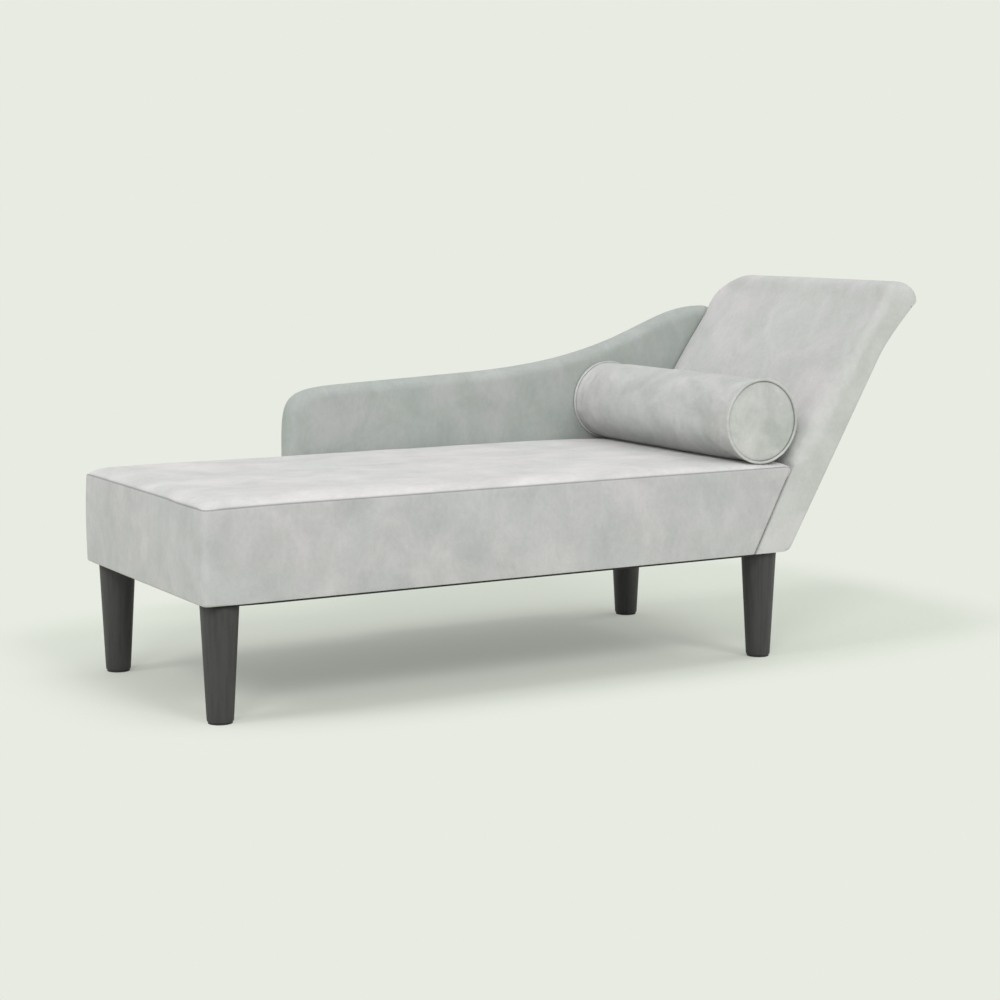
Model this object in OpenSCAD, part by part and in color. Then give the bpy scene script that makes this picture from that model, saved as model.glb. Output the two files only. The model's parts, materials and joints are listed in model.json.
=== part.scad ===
// Chaise longue: a padded box seat on four tapered legs, a leaning back at one end,
// a low padded panel along the rear that sweeps up to the back, and a loose round bolster.
// Sizes are drawn from the seat's front corner at the foot end: x towards the back,
// y towards the rear panel and z up from the floor. placed() then centres the whole.

/* [Seat] */
// Depth of the seat, from its front face to its rear face
seat_d = 564; // [480:1:680]
// Length of the seat's underside, from the foot end to the seam with the back
seat_under_l = 1109; // [950:1:1350]
// Height of the upholstered sides, from the underside to the top seam
seat_side_h = 161; // [140:1:210]
// Rise of the padded top above its seam
seat_crown = 13.5; // [5:0.5:28]
// Width over which the top rises from its front, rear and foot seams
seat_roll = 42; // [20:1:80]
// Length over which the top falls to the back, where the bolster lies
seat_fall = 310; // [120:1:320]
// Radius of the upright corners at the foot end
seat_corner_r = 12; // [8:1:30]

/* [Back] */
// Lean of the seam between the seat and the back
seam_lean = 28.1; // [18:0.1:29]
// Lean of the back's padded face
face_lean = 35.6; // [31:0.1:37]
// Lean of the back's rear face
rear_lean = 30.7; // [30:0.1:35]
// Width of the back at its underside
back_under_w = 83; // [74:1:110]
// Height of the back's ridge above the underside
back_h = 505; // [470:1:600]
// How far the ridge stands above the tip
tip_drop = 31; // [30:1:50]
// How far the flared tip reaches past the straight rear face
back_flare = 28; // [10:1:40]
// Height of the flare, from where it starts up to the tip
flare_h = 118; // [100:1:200]
// Distance from the tip to the ridge
ridge_back = 50; // [40:1:60]
// Radius of the padded edges beside the back's face
face_edge_r = 18; // [8:1:24]
// Radius of the edges beside the back's rear face
rear_edge_r = 10; // [6:1:16]
// Radius of the back's top corner at the front
top_corner_front_r = 26; // [20:1:60]
// Radius of the back's top corner at the rear
top_corner_rear_r = 88; // [30:1:90]

/* [Rear panel] */
// Thickness of the rear panel
panel_t = 50; // [44:1:70]
// Distance from the foot end to the panel's free end
panel_start = 411; // [250:1:600]
// Height of the panel where its shoulder ends, above the underside
panel_low_h = 304; // [240:1:340]
// Height of the panel at the back, above the underside
panel_high_h = 437; // [400:1:450]
// Length of the rounded shoulder along the top
shoulder_l = 166; // [130:1:190]
// Height of the rounded shoulder at the free end
shoulder_h = 108; // [95:1:130]
// Rise of the panel's straight stretch, in degrees
panel_rise = 2.4; // [0:0.1:4]
// Length of the panel's straight stretch
panel_straight = 223; // [150:1:300]
// Radius of the panel's padded edges
panel_edge_r = 22; // [16:0.5:22]
// How far the panel's head end stays inside the back's rear face
panel_setback = 6; // [2:1:14]

/* [Bolster] */
// Diameter of the bolster's body
bolster_d = 159; // [120:1:170]
// Length of the bolster between its end seams
bolster_l = 536; // [400:1:560]
// Diameter of the piping at both ends
piping_d = 5; // [4:0.5:9]
// How far each end bulges
bolster_dome = 7; // [3:1:9]
// Gap between the bolster and the back's face
bolster_gap = 15; // [1:1:20]
// Gap between the bolster's end and the rear panel
bolster_end_gap = 1; // [0.5:0.5:10]

/* [Legs] */
// Height of the legs, with their glides
leg_h = 200; // [120:1:260]
// Diameter of the leg's top
leg_top_d = 66; // [50:1:72]
// Diameter of the leg's foot
leg_foot_d = 45.2; // [34:0.1:50]
// Distance from the foot end to the centres of the foot-end legs
leg_inset_x = 45.5; // [40:0.5:90]
// Distance from the front and rear faces to the centres of the legs
leg_inset_y = 42.8; // [40:0.1:90]
// Distance from the seam's foot to the centre of the front leg under the back
head_leg_front_x = 38; // [30:1:44]
// Distance from the seam's foot to the centre of the rear leg under the back
head_leg_rear_x = 58; // [30:1:59]
// Distance from the rear face to the centre of the rear leg under the back
head_leg_rear_y = 34; // [33:1:90]
// Height of the glides under the legs
glide_h = 3; // [2:0.5:6]
// Diameter of the hanger bolts and frame bolts
bolt_d = 8; // [6:0.5:10]

/* [Frame and padding] */
// Thickness of the covers with their wadding
cover_t = 3; // [2:0.25:4]
// Thickness of the dark lining under the frame
lining_t = 2; // [1:0.25:3]
// Thickness of the wooden rails
rail_t = 25; // [20:1:30]
// Height of the wooden rails
rail_h = 70; // [62:1:90]
// Thickness of the back's plywood board
board_t = 6; // [4:0.5:8]
// Thickness of the rear panel's plywood board
panel_board_t = 15; // [12:1:18]
// Thickness of the foam on the back's face
back_foam_t = 25; // [18:1:28]
// Width of a webbing strap
strap_w = 50; // [40:1:60]
// Thickness of a webbing strap
strap_t = 2; // [1.5:0.25:3]
// Clearance between pieces that lie against each other
fit = 0.3; // [0.2:0.05:0.4]
// Glue line between the slanted pieces of the back's frame
glue = 0.05; // [0.02:0.01:0.15]

/* [Hidden] */

// Levels
under_z = leg_h + lining_t;
seam_z = under_z + seat_side_h;
ridge_z = under_z + back_h;
tip_z = ridge_z - tip_drop;
flare_z = tip_z - flare_h;
ridge_roll = 40;
face_top_z = ridge_z - ridge_roll;
rail_top_z = under_z + rail_h;
deck_z = rail_top_z + 2 * strap_t;
skin = cover_t + fit;

// Places along x at a given height
function seam_x(z) = seat_under_l + tan(seam_lean) * (z - under_z);
function face_x(z) = seam_x(seam_z) + tan(face_lean) * (z - seam_z);
function rear_x(z) = seat_under_l + back_under_w + tan(rear_lean) * (z - under_z);
tip_x = rear_x(tip_z) + back_flare;
face_slant = 1 / cos(face_lean);
rear_slant = 1 / cos(rear_lean);
seat_top_l = seam_x(seam_z) - 1;

// A curve with two handles, as n + 1 points
function bend(a, b, c, d, n) = [
    for (i = [0:n]) let (t = i / n)
    a * pow(1 - t, 3) + 3 * b * t * pow(1 - t, 2) + 3 * c * t * t * (1 - t) + d * pow(t, 3)
];
function along(angle, run) = run * [sin(angle), cos(angle)];
function without_first(list) = [for (i = [1:len(list) - 1]) list[i]];

// Side outline of the back, from the seam's foot over the ridge and down to the rear underside.
// The second and third points of each curve are its handles.
tuck_z = seam_z - seat_side_h / 4;
flare_lean = 47;
foot_round = 14;
face_top = [face_x(face_top_z), face_top_z];
ridge = [tip_x - ridge_back, ridge_z];
tip = [tip_x, tip_z];
flare_foot = [rear_x(flare_z), flare_z];
back_front_low = [[seam_x(under_z), under_z]];
back_upper = concat(
    [
        [seam_x(tuck_z), tuck_z], [seam_x(seam_z), seam_z],
        [face_x(seam_z + face_edge_r), seam_z + face_edge_r]
    ],
    bend(face_top, face_top + along(face_lean, ridge_roll / 2), ridge - [ridge_back / 2, 0], ridge, 5),
    without_first(bend(ridge, ridge + [0.6 * ridge_back, 0], tip + [0, tip_drop / 2], tip, 5)),
    without_first(bend(
        tip, tip - along(flare_lean, 0.43 * flare_h),
        flare_foot + along(rear_lean, 0.35 * flare_h), flare_foot, 6
    )),
    [[rear_x(under_z + foot_round), under_z + foot_round]],
    [[rear_x(under_z + foot_round / 3) - 1, under_z + foot_round / 3]],
    [[rear_x(under_z) - foot_round / 2, under_z]]
);
back_outline = concat(back_front_low, back_upper);
overall_l = max([for (p = back_outline) p[0]]);

// Side outline of the rear panel, from its free end's foot over the top to its head end
panel_y = seat_d + fit;
overall_d = panel_y + panel_t;
shoulder = [panel_start + shoulder_l, under_z + panel_low_h];
shoulder_foot = [panel_start, shoulder[1] - shoulder_h];
shoulder_pull = 0.92;
end_bow = 30;
panel_way = [cos(panel_rise), sin(panel_rise)];
sweep_foot = shoulder + panel_straight * panel_way;
panel_high_z = under_z + panel_high_h;
panel_head = [rear_x(panel_high_z) - panel_setback * rear_slant, panel_high_z];
head_round = 48;
sweep_top = panel_head - [head_round + 4, 0];
sweep_pull = 412;
sweep_end_pull = 150;
head_pull = 21;
panel_outline = concat(
    [[panel_start, under_z], [panel_start, shoulder_foot[1] - end_bow]],
    bend(shoulder_foot, shoulder_foot + [0, shoulder_pull * shoulder_h],
        shoulder - shoulder_pull * shoulder_l * panel_way, shoulder, 9),
    bend(sweep_foot, sweep_foot + sweep_pull * panel_way, sweep_top - [sweep_end_pull, 0], sweep_top, 14),
    bend(panel_head - [head_round, 0], panel_head - [head_round - head_pull, 0],
        panel_head - along(rear_lean, head_round - head_pull), panel_head - along(rear_lean, head_round), 6),
    [[rear_x(under_z) - panel_setback * rear_slant, under_z]]
);

// Moves an open outline inwards by d, and keeps its two ends at their height
function heading(p, i) = let (a = p[max(i - 1, 0)], b = p[min(i + 1, len(p) - 1)]) (b - a) / norm(b - a);
function inset(p, d) = [
    for (i = [0:len(p) - 1]) let (h = heading(p, i), w = is_list(d) ? d[i] : d)
    (i == 0 || i == len(p) - 1) ? p[i] + [w / h[1], 0] : p[i] + w * [h[1], -h[0]]
];

// How far a rounded edge of radius r draws in at a distance y from its side
function draw_in(r, y) = r <= 0 ? 0 : r - sqrt(r * r - pow(r - min(y, r), 2));
function blend(a, b, t) = let (s = min(max(t, 0), 1)) a + (b - a) * s * s * (3 - 2 * s);

// Places across the width, close together on the rounded edges
function edge_steps(r, n) = [for (k = [0:n]) r * (1 - cos(90 * k / n))];
function reversed(list) = [for (k = [len(list) - 1:-1:0]) list[k]];
function mirrored(steps, width) = [for (v = reversed(steps)) width - v];
function across(r0, r1, n, width) = concat(edge_steps(r0, n), mirrored(edge_steps(r1, n), width));

// The back's padded form: edge radii along the outline, and top corners that round away
back_ys = reversed(across(top_corner_front_r, top_corner_rear_r, 7, seat_d));
function front_x(z) = z < seam_z ? seam_x(z) : face_x(z);
function back_edge(p) = (p[0] < (front_x(p[1]) + rear_x(p[1])) / 2)
    ? blend(cover_t + 0.5, face_edge_r, (p[1] - seam_z) / (2 * face_edge_r))
    : blend(rear_edge_r, face_edge_r, (tip_x - p[0]) / ridge_back - (ridge_z - p[1]) / 10);
function lean_at(p) = let (front = front_x(p[1]), rear = rear_x(p[1]))
    blend(face_lean, rear_lean, (p[0] - front) / (rear - front));
function corner_drop(y) = draw_in(top_corner_front_r, y) + draw_in(top_corner_rear_r, seat_d - y);
function back_at(p, y, extra) = let (
    radii = [for (c = p) draw_in(back_edge(c), min(y, seat_d - y)) + extra],
    q = inset(p, radii)
) [for (c = q) c - along(lean_at(c), corner_drop(y) * blend(0, 1, (c[1] - flare_z) / (0.87 * flare_h)))];

// The rear panel's padded form
panel_ys = reversed(across(panel_edge_r, panel_edge_r, 5, panel_t));
function panel_at(y, extra) = inset(panel_outline, draw_in(panel_edge_r, min(y, panel_t - y)) + extra);

// Faces of a grid of rows and columns, as triangles
function grid_faces(rows, cols, base, flip) = [
    for (i = [0:rows - 2], j = [0:cols - 2], k = [0:1]) let (
        a = base + i * cols + j,
        b = a + 1,
        c = a + cols,
        d = c + 1,
        f = k == 0 ? [a, b, d] : [a, d, c]
    ) flip ? [f[2], f[1], f[0]] : f
];
function flat(list) = [for (row = list) for (p = row) p];

// A sheet with a thickness: an outer and an inner grid, joined along all four borders
module thick_sheet(outer, inner) {
    rows = len(outer);
    cols = len(outer[0]);
    n = rows * cols;
    border = concat(
        [for (j = [0:cols - 2]) j],
        [for (i = [0:rows - 2]) i * cols + cols - 1],
        [for (j = [cols - 1:-1:1]) (rows - 1) * cols + j],
        [for (i = [rows - 1:-1:1]) i * cols]
    );
    m = len(border);
    rim = [
        for (k = [0:m - 1], s = [0:1]) let (a = border[k], b = border[(k + 1) % m])
        s == 0 ? [b, a, a + n] : [b, a + n, b + n]
    ];
    polyhedron(
        points = concat(flat(outer), flat(inner)),
        faces = concat(rim, grid_faces(rows, cols, 0, false), grid_faces(rows, cols, n, true))
    );
}

// A grid of points over a plan that rises from its borders, as the seat's top does
roll_steps = edge_steps(seat_roll, 5);
fall_steps = edge_steps(seat_fall, 8);
flat_l = seat_top_l - seat_roll - seat_fall;
flat_w = seat_d - 2 * seat_roll;
function rise(d, w) = sqrt(1 - pow(1 - min(max(d, 0), w) / w, 2));
function seat_top_z(x, y, lift) = seam_z + lift * rise(x, seat_roll) * rise(seat_top_l - x, seat_fall)
    * rise(min(y, seat_d - y), seat_roll);
seat_xs = concat(
    roll_steps, [for (k = [1:4]) seat_roll + k * flat_l / 5], mirrored(fall_steps, seat_top_l)
);
seat_ys = concat(
    roll_steps, [for (k = [1:3]) seat_roll + k * flat_w / 4], mirrored(roll_steps, seat_d)
);
function shrink(v, size, d) = d + v * (size - 2 * d) / size;
function seat_plan(x, y, d) = let (
    v = shrink(y, seat_d, d),
    corner = draw_in(seat_corner_r - d, min(v, seat_d - v) - d)
) [shrink(x, seat_top_l, d) + corner * (1 - x / seat_top_l), v];
function seat_top_grid(d, lift) = [
    for (x = seat_xs) [
        for (y = seat_ys) let (q = seat_plan(x, y, d))
        [q[0], q[1], seat_top_z(x, y, lift)]
    ]
];

// Bolster: it lies on the seat, just clear of the back's face. Its piping stands a third
// of its width out of the body, and the body is drawn in a little at both end seams.
bolster_r = bolster_d / 2 + piping_d / 3;
bolster_y = panel_y - bolster_end_gap - bolster_dome - bolster_l;
bolster_x = face_x(seam_z + bolster_r) - bolster_r * face_slant - bolster_gap;
function rest_z(y, r) = max([
    for (k = [-6:6]) let (s = r * k / 20)
    seat_top_z(bolster_x + s, y, seat_crown) + sqrt(r * r - s * s)
]);
bolster_z = fit + max(
    rest_z(bolster_y, bolster_r),
    rest_z(bolster_y + bolster_l, bolster_r),
    rest_z(seat_d / 2, bolster_d / 2)
);
seam_draw = 2.5;
zip_w = 6;
zip_inset = 60;
zip_turn = -30;

// Places of the legs and bolts
leg_spots = [
    [leg_inset_x, leg_inset_y],
    [leg_inset_x, seat_d - leg_inset_y],
    [seat_under_l + head_leg_front_x, leg_inset_y],
    [seat_under_l + head_leg_rear_x, seat_d - head_leg_rear_y]
];
bolt_r = bolt_d / 2;
bolt_hole_r = bolt_r + 0.1;
nut_r = bolt_r + 2;
bolt_into_leg = 40;
bolt_into_frame = 30;
bay_l = (seat_under_l - 2 * rail_t - skin) / 3;
panel_bolt_xs = [for (k = [0.2, 0.8, 1.25]) seat_under_l - rail_t - k * bay_l];
panel_bolt_z = under_z + rail_h / 2;
frame_bolt_ys = [seat_d * 0.25, seat_d * 0.5, seat_d * 0.75];
bottom_rail_h = 42;
frame_bolt_z = under_z + bottom_rail_h / 2;
head_h = 5;
cross_rail_set_down = 20;
cross_rail_h = rail_h - cross_rail_set_down;

module placed() {
    translate([-overall_l / 2, -overall_d / 2, 0]) children();
}

// A flat shape drawn in x and z, made w thick from y upwards
module slab(points, y, w) {
    translate([0, y + w, 0]) rotate([90, 0, 0]) linear_extrude(w) polygon(points);
}

module bar(corner, size) {
    translate(corner) cube(size);
}

module bolts_along_y(y, length, r) {
    for (x = panel_bolt_xs)
        translate([x, y, panel_bolt_z]) rotate([-90, 0, 0]) cylinder(r = r, h = length, $fn = 32);
}

module bolts_along_x(x, length, r) {
    for (y = frame_bolt_ys)
        translate([x, y, frame_bolt_z]) rotate([0, 90, 0]) cylinder(r = r, h = length, $fn = 32);
}

module bolts_up(z, length, r) {
    for (p = leg_spots)
        translate([p[0], p[1], z]) cylinder(r = r, h = length, $fn = 32);
}

// Seat frame
rail_y_front = skin;
rail_y_rear = seat_d - skin - rail_t;
rail_gap_y = rail_y_front + rail_t;
head_rail_x = seat_under_l - rail_t;

module long_rail(y) {
    bar([seat_corner_r, y, under_z], [seat_under_l - seat_corner_r, rail_t, rail_h]);
}

module seat_rail_front() {
    color("burlywood") placed() long_rail(rail_y_front);
}

module seat_rail_rear() {
    color("burlywood") placed() difference() {
        long_rail(rail_y_rear);
        bolts_along_y(rail_y_rear - 1, rail_t + 2, bolt_hole_r);
    }
}

module seat_rail_foot() {
    color("burlywood") placed()
        bar([skin, rail_gap_y, under_z], [rail_t, seat_d - 2 * rail_gap_y, rail_h]);
}

module seat_rail_head() {
    color("burlywood") placed() difference() {
        bar([head_rail_x, rail_gap_y, under_z], [rail_t, seat_d - 2 * rail_gap_y, rail_h]);
        bolts_along_x(head_rail_x - 1, rail_t + 2, bolt_hole_r);
    }
}

module seat_cross_rails() {
    color("burlywood") placed() for (k = [1:2])
        bar([skin + rail_t / 2 + k * bay_l, rail_gap_y, under_z],
            [rail_t, seat_d - 2 * rail_gap_y, cross_rail_h]);
}

module corner_blocks() {
    block = leg_top_d;
    color("tan") placed() difference() {
        for (y = [rail_gap_y, seat_d - rail_gap_y - block])
            bar([skin + rail_t, y, under_z], [block, block, bolt_into_frame + 10]);
        bolts_up(under_z - 1, bolt_into_frame + 1, nut_r + fit);
    }
}

// Webbing: straps across, and straps along on top of them, at an even pitch
strap_pitch = 1.9 * strap_w;
strap_end = 2;
across_count = floor((seat_under_l - 2 * rail_t) / strap_pitch);
along_count = floor((seat_d - 2 * rail_t) / strap_pitch);

module webbing_across() {
    first = (seat_under_l - (across_count - 1) * strap_pitch - strap_w) / 2;
    color("black") placed() for (k = [0:across_count - 1])
        bar([first + k * strap_pitch, rail_y_front + strap_end, rail_top_z],
            [strap_w, seat_d - 2 * (rail_y_front + strap_end), strap_t]);
}

module webbing_along() {
    first = (seat_d - (along_count - 1) * strap_pitch - strap_w) / 2;
    color("black") placed() for (k = [0:along_count - 1])
        bar([skin + strap_end, first + k * strap_pitch, rail_top_z + strap_t],
            [seat_under_l - skin - 2 * strap_end, strap_w, strap_t]);
}

// Seat foam: a crowned top over straight sides and a flat bottom
module seat_foam() {
    top = seat_top_grid(skin, seat_crown - skin);
    short = seat_top_l - seam_x(deck_z) + 1;
    bottom = [for (row = top) [for (p = row) [p[0] - short * p[0] / seat_top_l, p[1], deck_z]]];
    color("khaki") placed() thick_sheet(top, bottom);
}

// The seat's plan with rounded corners at the foot end, drawn in by d
module upright_corners(d, z0, z1) {
    r = seat_corner_r - d;
    translate([0, 0, z0]) linear_extrude(z1 - z0) {
        translate([seat_corner_r, d]) square([overall_l, seat_d - 2 * d]);
        translate([d, seat_corner_r]) square([overall_l, seat_d - 2 * seat_corner_r]);
        for (y = [seat_corner_r, seat_d - seat_corner_r])
            translate([seat_corner_r, y]) circle(r = r, $fn = 48);
    }
}

module seat_top_cover() {
    color("lightgray") placed()
        thick_sheet(seat_top_grid(0, seat_crown), seat_top_grid(cover_t, seat_crown - cover_t));
}

// One band round the foot end: front, foot and rear, with its two ends on the slanted seam
module seat_side_cover() {
    side = [
        [0, under_z],
        [seam_x(under_z) - 1, under_z],
        [seam_x(seam_z) - 1, seam_z],
        [0, seam_z]
    ];
    color("silver") placed() difference() {
        intersection() {
            slab(side, 0, seat_d);
            upright_corners(0, under_z - 1, seam_z + 1);
        }
        upright_corners(cover_t, under_z - 1, seam_z + 1);
        bolts_along_y(seat_d - cover_t - 1, cover_t + 2, bolt_hole_r);
    }
}

// Dark lining under the frame, with a hole at each leg bolt
module lining() {
    edge = 1.5;
    set_in = 20;
    head_end = rear_x(under_z) - foot_round / 2;
    color("black") placed() difference() {
        translate([0, 0, leg_h]) linear_extrude(lining_t) polygon([
            [set_in, edge],
            [seat_under_l, edge],
            [seat_under_l, set_in],
            [head_end, set_in],
            [head_end, overall_d - edge],
            [panel_start + panel_edge_r, overall_d - edge],
            [panel_start + panel_edge_r, seat_d - edge],
            [set_in, seat_d - edge]
        ]);
        bolts_up(leg_h - 1, lining_t + 2, bolt_hole_r);
    }
}

// Back frame
board_back = skin + back_foam_t + fit + board_t;
frame_depth = board_back + glue;
function upright_side() = [
    [seam_x(upright_z) + fit, upright_z],
    [seam_x(tuck_z - 2 * cover_t) + fit, tuck_z - 2 * cover_t],
    [face_x(seam_z) + frame_depth * face_slant, seam_z],
    [face_x(frame_top_z) + frame_depth * face_slant, frame_top_z],
    [rear_x(frame_top_z) - skin * rear_slant, frame_top_z],
    [rear_x(upright_z) - skin * rear_slant, upright_z]
];
bottom_rail_w = back_under_w - foot_round - skin;
frame_top_z = flare_z + flare_h / 4;
upright_z = under_z + bottom_rail_h;
upright_y_front = face_edge_r + 1;
upright_y_rear = seat_d - upright_y_front - rail_t;
back_inner_y = upright_y_front + rail_t;
back_inner_w = seat_d - 2 * back_inner_y;

module back_upright_front() {
    color("burlywood") placed() slab(upright_side(), upright_y_front, rail_t);
}

module back_upright_rear() {
    color("burlywood") placed() slab(upright_side(), upright_y_rear, rail_t);
}

module back_rail_bottom() {
    side = [
        [seat_under_l + fit, under_z],
        [seat_under_l + fit, upright_z],
        [rear_x(upright_z) - skin * rear_slant, upright_z],
        [rear_x(under_z + foot_round) - skin * rear_slant, under_z + foot_round],
        [seat_under_l + fit + bottom_rail_w, under_z]
    ];
    color("burlywood") placed() difference() {
        slab(side, upright_y_front, seat_d - 2 * upright_y_front);
        bolts_along_x(seat_under_l - 1, back_under_w + 2, bolt_hole_r);
        bolts_up(under_z - 1, bolt_into_frame + 1, nut_r + fit);
    }
}

rail_face_h = 40;
function back_rail_side(z0, z1) = [
    [face_x(z0) + frame_depth * face_slant, z0],
    [face_x(z1) + frame_depth * face_slant, z1],
    [rear_x(z1) - skin * rear_slant, z1],
    [rear_x(z0) - skin * rear_slant, z0]
];

module back_rail_middle() {
    z = seam_z + 10;
    color("burlywood") placed()
        slab(back_rail_side(z, z + rail_face_h), back_inner_y, back_inner_w);
}

module back_rail_top() {
    color("burlywood") placed()
        slab(back_rail_side(frame_top_z - rail_face_h, frame_top_z), back_inner_y, back_inner_w);
}

// A layer that lies along the back's face, between two depths below it
function face_layer(near, far, z0, z1) = [
    [face_x(z0) + near * face_slant, z0],
    [face_x(z1) + near * face_slant, z1],
    [face_x(z1) + far * face_slant, z1],
    [face_x(z0) + far * face_slant, z0]
];

module back_board() {
    side = face_layer(skin + back_foam_t + fit, board_back, seam_z + 2, frame_top_z);
    color("peru") placed() slab(side, upright_y_front, seat_d - 2 * upright_y_front);
}

module back_foam() {
    side = face_layer(skin + fit, skin + back_foam_t, seam_z + 2, frame_top_z);
    color("khaki") placed() slab(side, upright_y_front, seat_d - 2 * upright_y_front);
}

// Roll of foam that fills the flared top
module back_top_roll() {
    depth = skin + 2 * fit;
    trimmed = [for (p = inset(back_outline, depth)) if (p[1] > frame_top_z + 1) p];
    z = frame_top_z + fit;
    side = concat([[face_x(z) + depth * face_slant, z]], trimmed, [[rear_x(z) - depth * rear_slant, z]]);
    color("khaki") placed() slab(side, top_corner_front_r, seat_d - top_corner_front_r - top_corner_rear_r);
}

module back_cover() {
    outer = [for (y = back_ys) [for (p = back_at(back_upper, y, 0)) [p[0], y, p[1]]]];
    inner = [
        for (y = back_ys) let (v = shrink(y, seat_d, cover_t)) [
            for (p = back_at(back_upper, y, cover_t * (1 - back_turn(y)))) [p[0], v, p[1]]
        ]
    ];
    color("gainsboro") placed() thick_sheet(outer, inner);
}

// 1 at the side seams and 0 where the cover lies flat over the back
function back_turn(y) = let (d = min(y, seat_d - y))
    d >= rear_edge_r ? 0 : 1 - sin(acos(1 - d / rear_edge_r));

// A side of the back, inside the cover's edge
function back_side_outline() = let (
    q = back_at(back_outline, 0, fit),
    n = len(q)
) concat([q[0] + [1, 0]], [for (i = [1:n - 2]) q[i]], [q[n - 1]]);

module back_side_front() {
    color("gainsboro") placed() slab(back_side_outline(), 0, cover_t);
}

module back_side_rear() {
    q = back_at(back_outline, seat_d, fit);
    color("gainsboro") placed() slab(q, seat_d - cover_t, cover_t);
}

// Rear panel
module panel_bolt_holes(y, w) {
    bolts_along_y(y - 1, w + 2, bolt_hole_r);
}

panel_board_y = panel_y + (panel_t - panel_board_t) / 2;
panel_foam_w = (panel_t - panel_board_t) / 2 - skin - fit;

module panel_board() {
    color("peru") placed() difference() {
        slab(inset(panel_outline, skin + 3), panel_board_y, panel_board_t);
        panel_bolt_holes(panel_board_y, panel_board_t);
    }
}

module panel_foam_inner() {
    y = panel_y + skin;
    color("khaki") placed() difference() {
        slab(inset(panel_outline, panel_edge_r + 1), y, panel_foam_w);
        panel_bolt_holes(y, panel_foam_w);
    }
}

module panel_foam_outer() {
    y = panel_board_y + panel_board_t + fit;
    color("khaki") placed() slab(inset(panel_outline, panel_edge_r + 1), y, panel_foam_w);
}

module panel_cover() {
    outer = [for (y = panel_ys) [for (p = panel_at(y, 0)) [p[0], panel_y + y, p[1]]]];
    inner = [
        for (y = panel_ys) let (
            c = panel_edge_r - min(min(y, panel_t - y), panel_edge_r),
            s = panel_edge_r - draw_in(panel_edge_r, min(y, panel_t - y)),
            k = cover_t / panel_edge_r,
            v = y < panel_t / 2 ? y + k * c : y - k * c
        ) [for (p = panel_at(y, k * s)) [p[0], panel_y + v, p[1]]]
    ];
    color("darkseagreen") placed() thick_sheet(outer, inner);
}

module panel_face_inner() {
    color("darkseagreen") placed() difference() {
        slab(inset(panel_outline, panel_edge_r + fit), panel_y, cover_t);
        panel_bolt_holes(panel_y, cover_t);
    }
}

module panel_face_outer() {
    color("darkseagreen") placed()
        slab(inset(panel_outline, panel_edge_r + fit), panel_y + panel_t - cover_t, cover_t);
}

// Bolts that hold the rear panel to the seat's rear rail
module panel_bolts() {
    inner_y = rail_y_rear;
    outer_y = panel_board_y + panel_board_t;
    color("dimgray") placed() {
        bolts_along_y(inner_y - head_h, outer_y - inner_y + head_h, bolt_r);
        bolts_along_y(inner_y - head_h, head_h, nut_r + 1);
    }
}

// Bolts that hold the back's bottom rail to the seat's head rail
module frame_bolts() {
    color("dimgray") placed() {
        bolts_along_x(head_rail_x - head_h, head_h + rail_t + fit + bottom_rail_w, bolt_r);
        bolts_along_x(head_rail_x - head_h, head_h, nut_r + 1);
    }
}

// Legs
module leg(spot) {
    color([0.16, 0.16, 0.17]) placed() translate([spot[0], spot[1], 0]) difference() {
        translate([0, 0, glide_h])
            cylinder(d1 = leg_foot_d, d2 = leg_top_d, h = leg_h - glide_h, $fn = 96);
        translate([0, 0, leg_h - bolt_into_leg]) cylinder(r = bolt_hole_r, h = bolt_into_leg + 1, $fn = 32);
    }
}

module leg_foot_front() { leg(leg_spots[0]); }
module leg_foot_rear() { leg(leg_spots[1]); }
module leg_head_front() { leg(leg_spots[2]); }
module leg_head_rear() { leg(leg_spots[3]); }

module leg_glides() {
    color("gray") placed() for (p = leg_spots)
        translate([p[0], p[1], 0]) cylinder(d = leg_foot_d - 4, h = glide_h, $fn = 64);
}

module hanger_bolts() {
    color("dimgray") placed()
        bolts_up(leg_h - bolt_into_leg, bolt_into_leg + lining_t + bolt_into_frame - 2, bolt_r);
}

module insert_nuts() {
    color("darkgray") placed() difference() {
        bolts_up(under_z, bolt_into_frame, nut_r);
        bolts_up(under_z - 1, bolt_into_frame + 2, bolt_hole_r);
    }
}

// Bolster, drawn along z from its front seam and then laid along y
module laid() {
    placed() translate([bolster_x, bolster_y, bolster_z]) rotate([-90, 0, 0]) children();
}

// Half profile of the body: drawn in at both seams and fuller between them
function body_r(z) = bolster_d / 2 - seam_draw * pow(abs(2 * z / bolster_l - 1), 6);
function body_profile(d, ends) = [
    for (k = [0:16]) let (z = ends + (bolster_l - 2 * ends) * k / 16)
    [body_r(z) - d, z]
];

module bolster_cover() {
    inner = body_profile(cover_t, 0);
    color("lightgray") laid() difference() {
        rotate_extrude($fn = 96)
            polygon(concat(body_profile(0, 0), [for (k = [16:-1:0]) inner[k]]));
        zip_slot(fit);
    }
}

module zip_slot(gap) {
    rotate([0, 0, zip_turn])
        translate([bolster_d / 2 - cover_t - 1, -zip_w / 2 - gap, zip_inset - gap])
            cube([cover_t + 2, zip_w + 2 * gap, bolster_l - 2 * zip_inset + 2 * gap]);
}

module bolster_zip() {
    color("dimgray") laid() intersection() {
        zip_slot(0);
        difference() {
            cylinder(d = bolster_d - fit, h = bolster_l, $fn = 96);
            translate([0, 0, -1])
                cylinder(d = bolster_d - 2 * cover_t + 2 * fit, h = bolster_l + 2, $fn = 96);
        }
    }
}

module bolster_filling() {
    color("khaki") laid() rotate_extrude($fn = 96)
        polygon(concat([[0, skin]], body_profile(skin, skin), [[0, bolster_l - skin]]));
}

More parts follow.
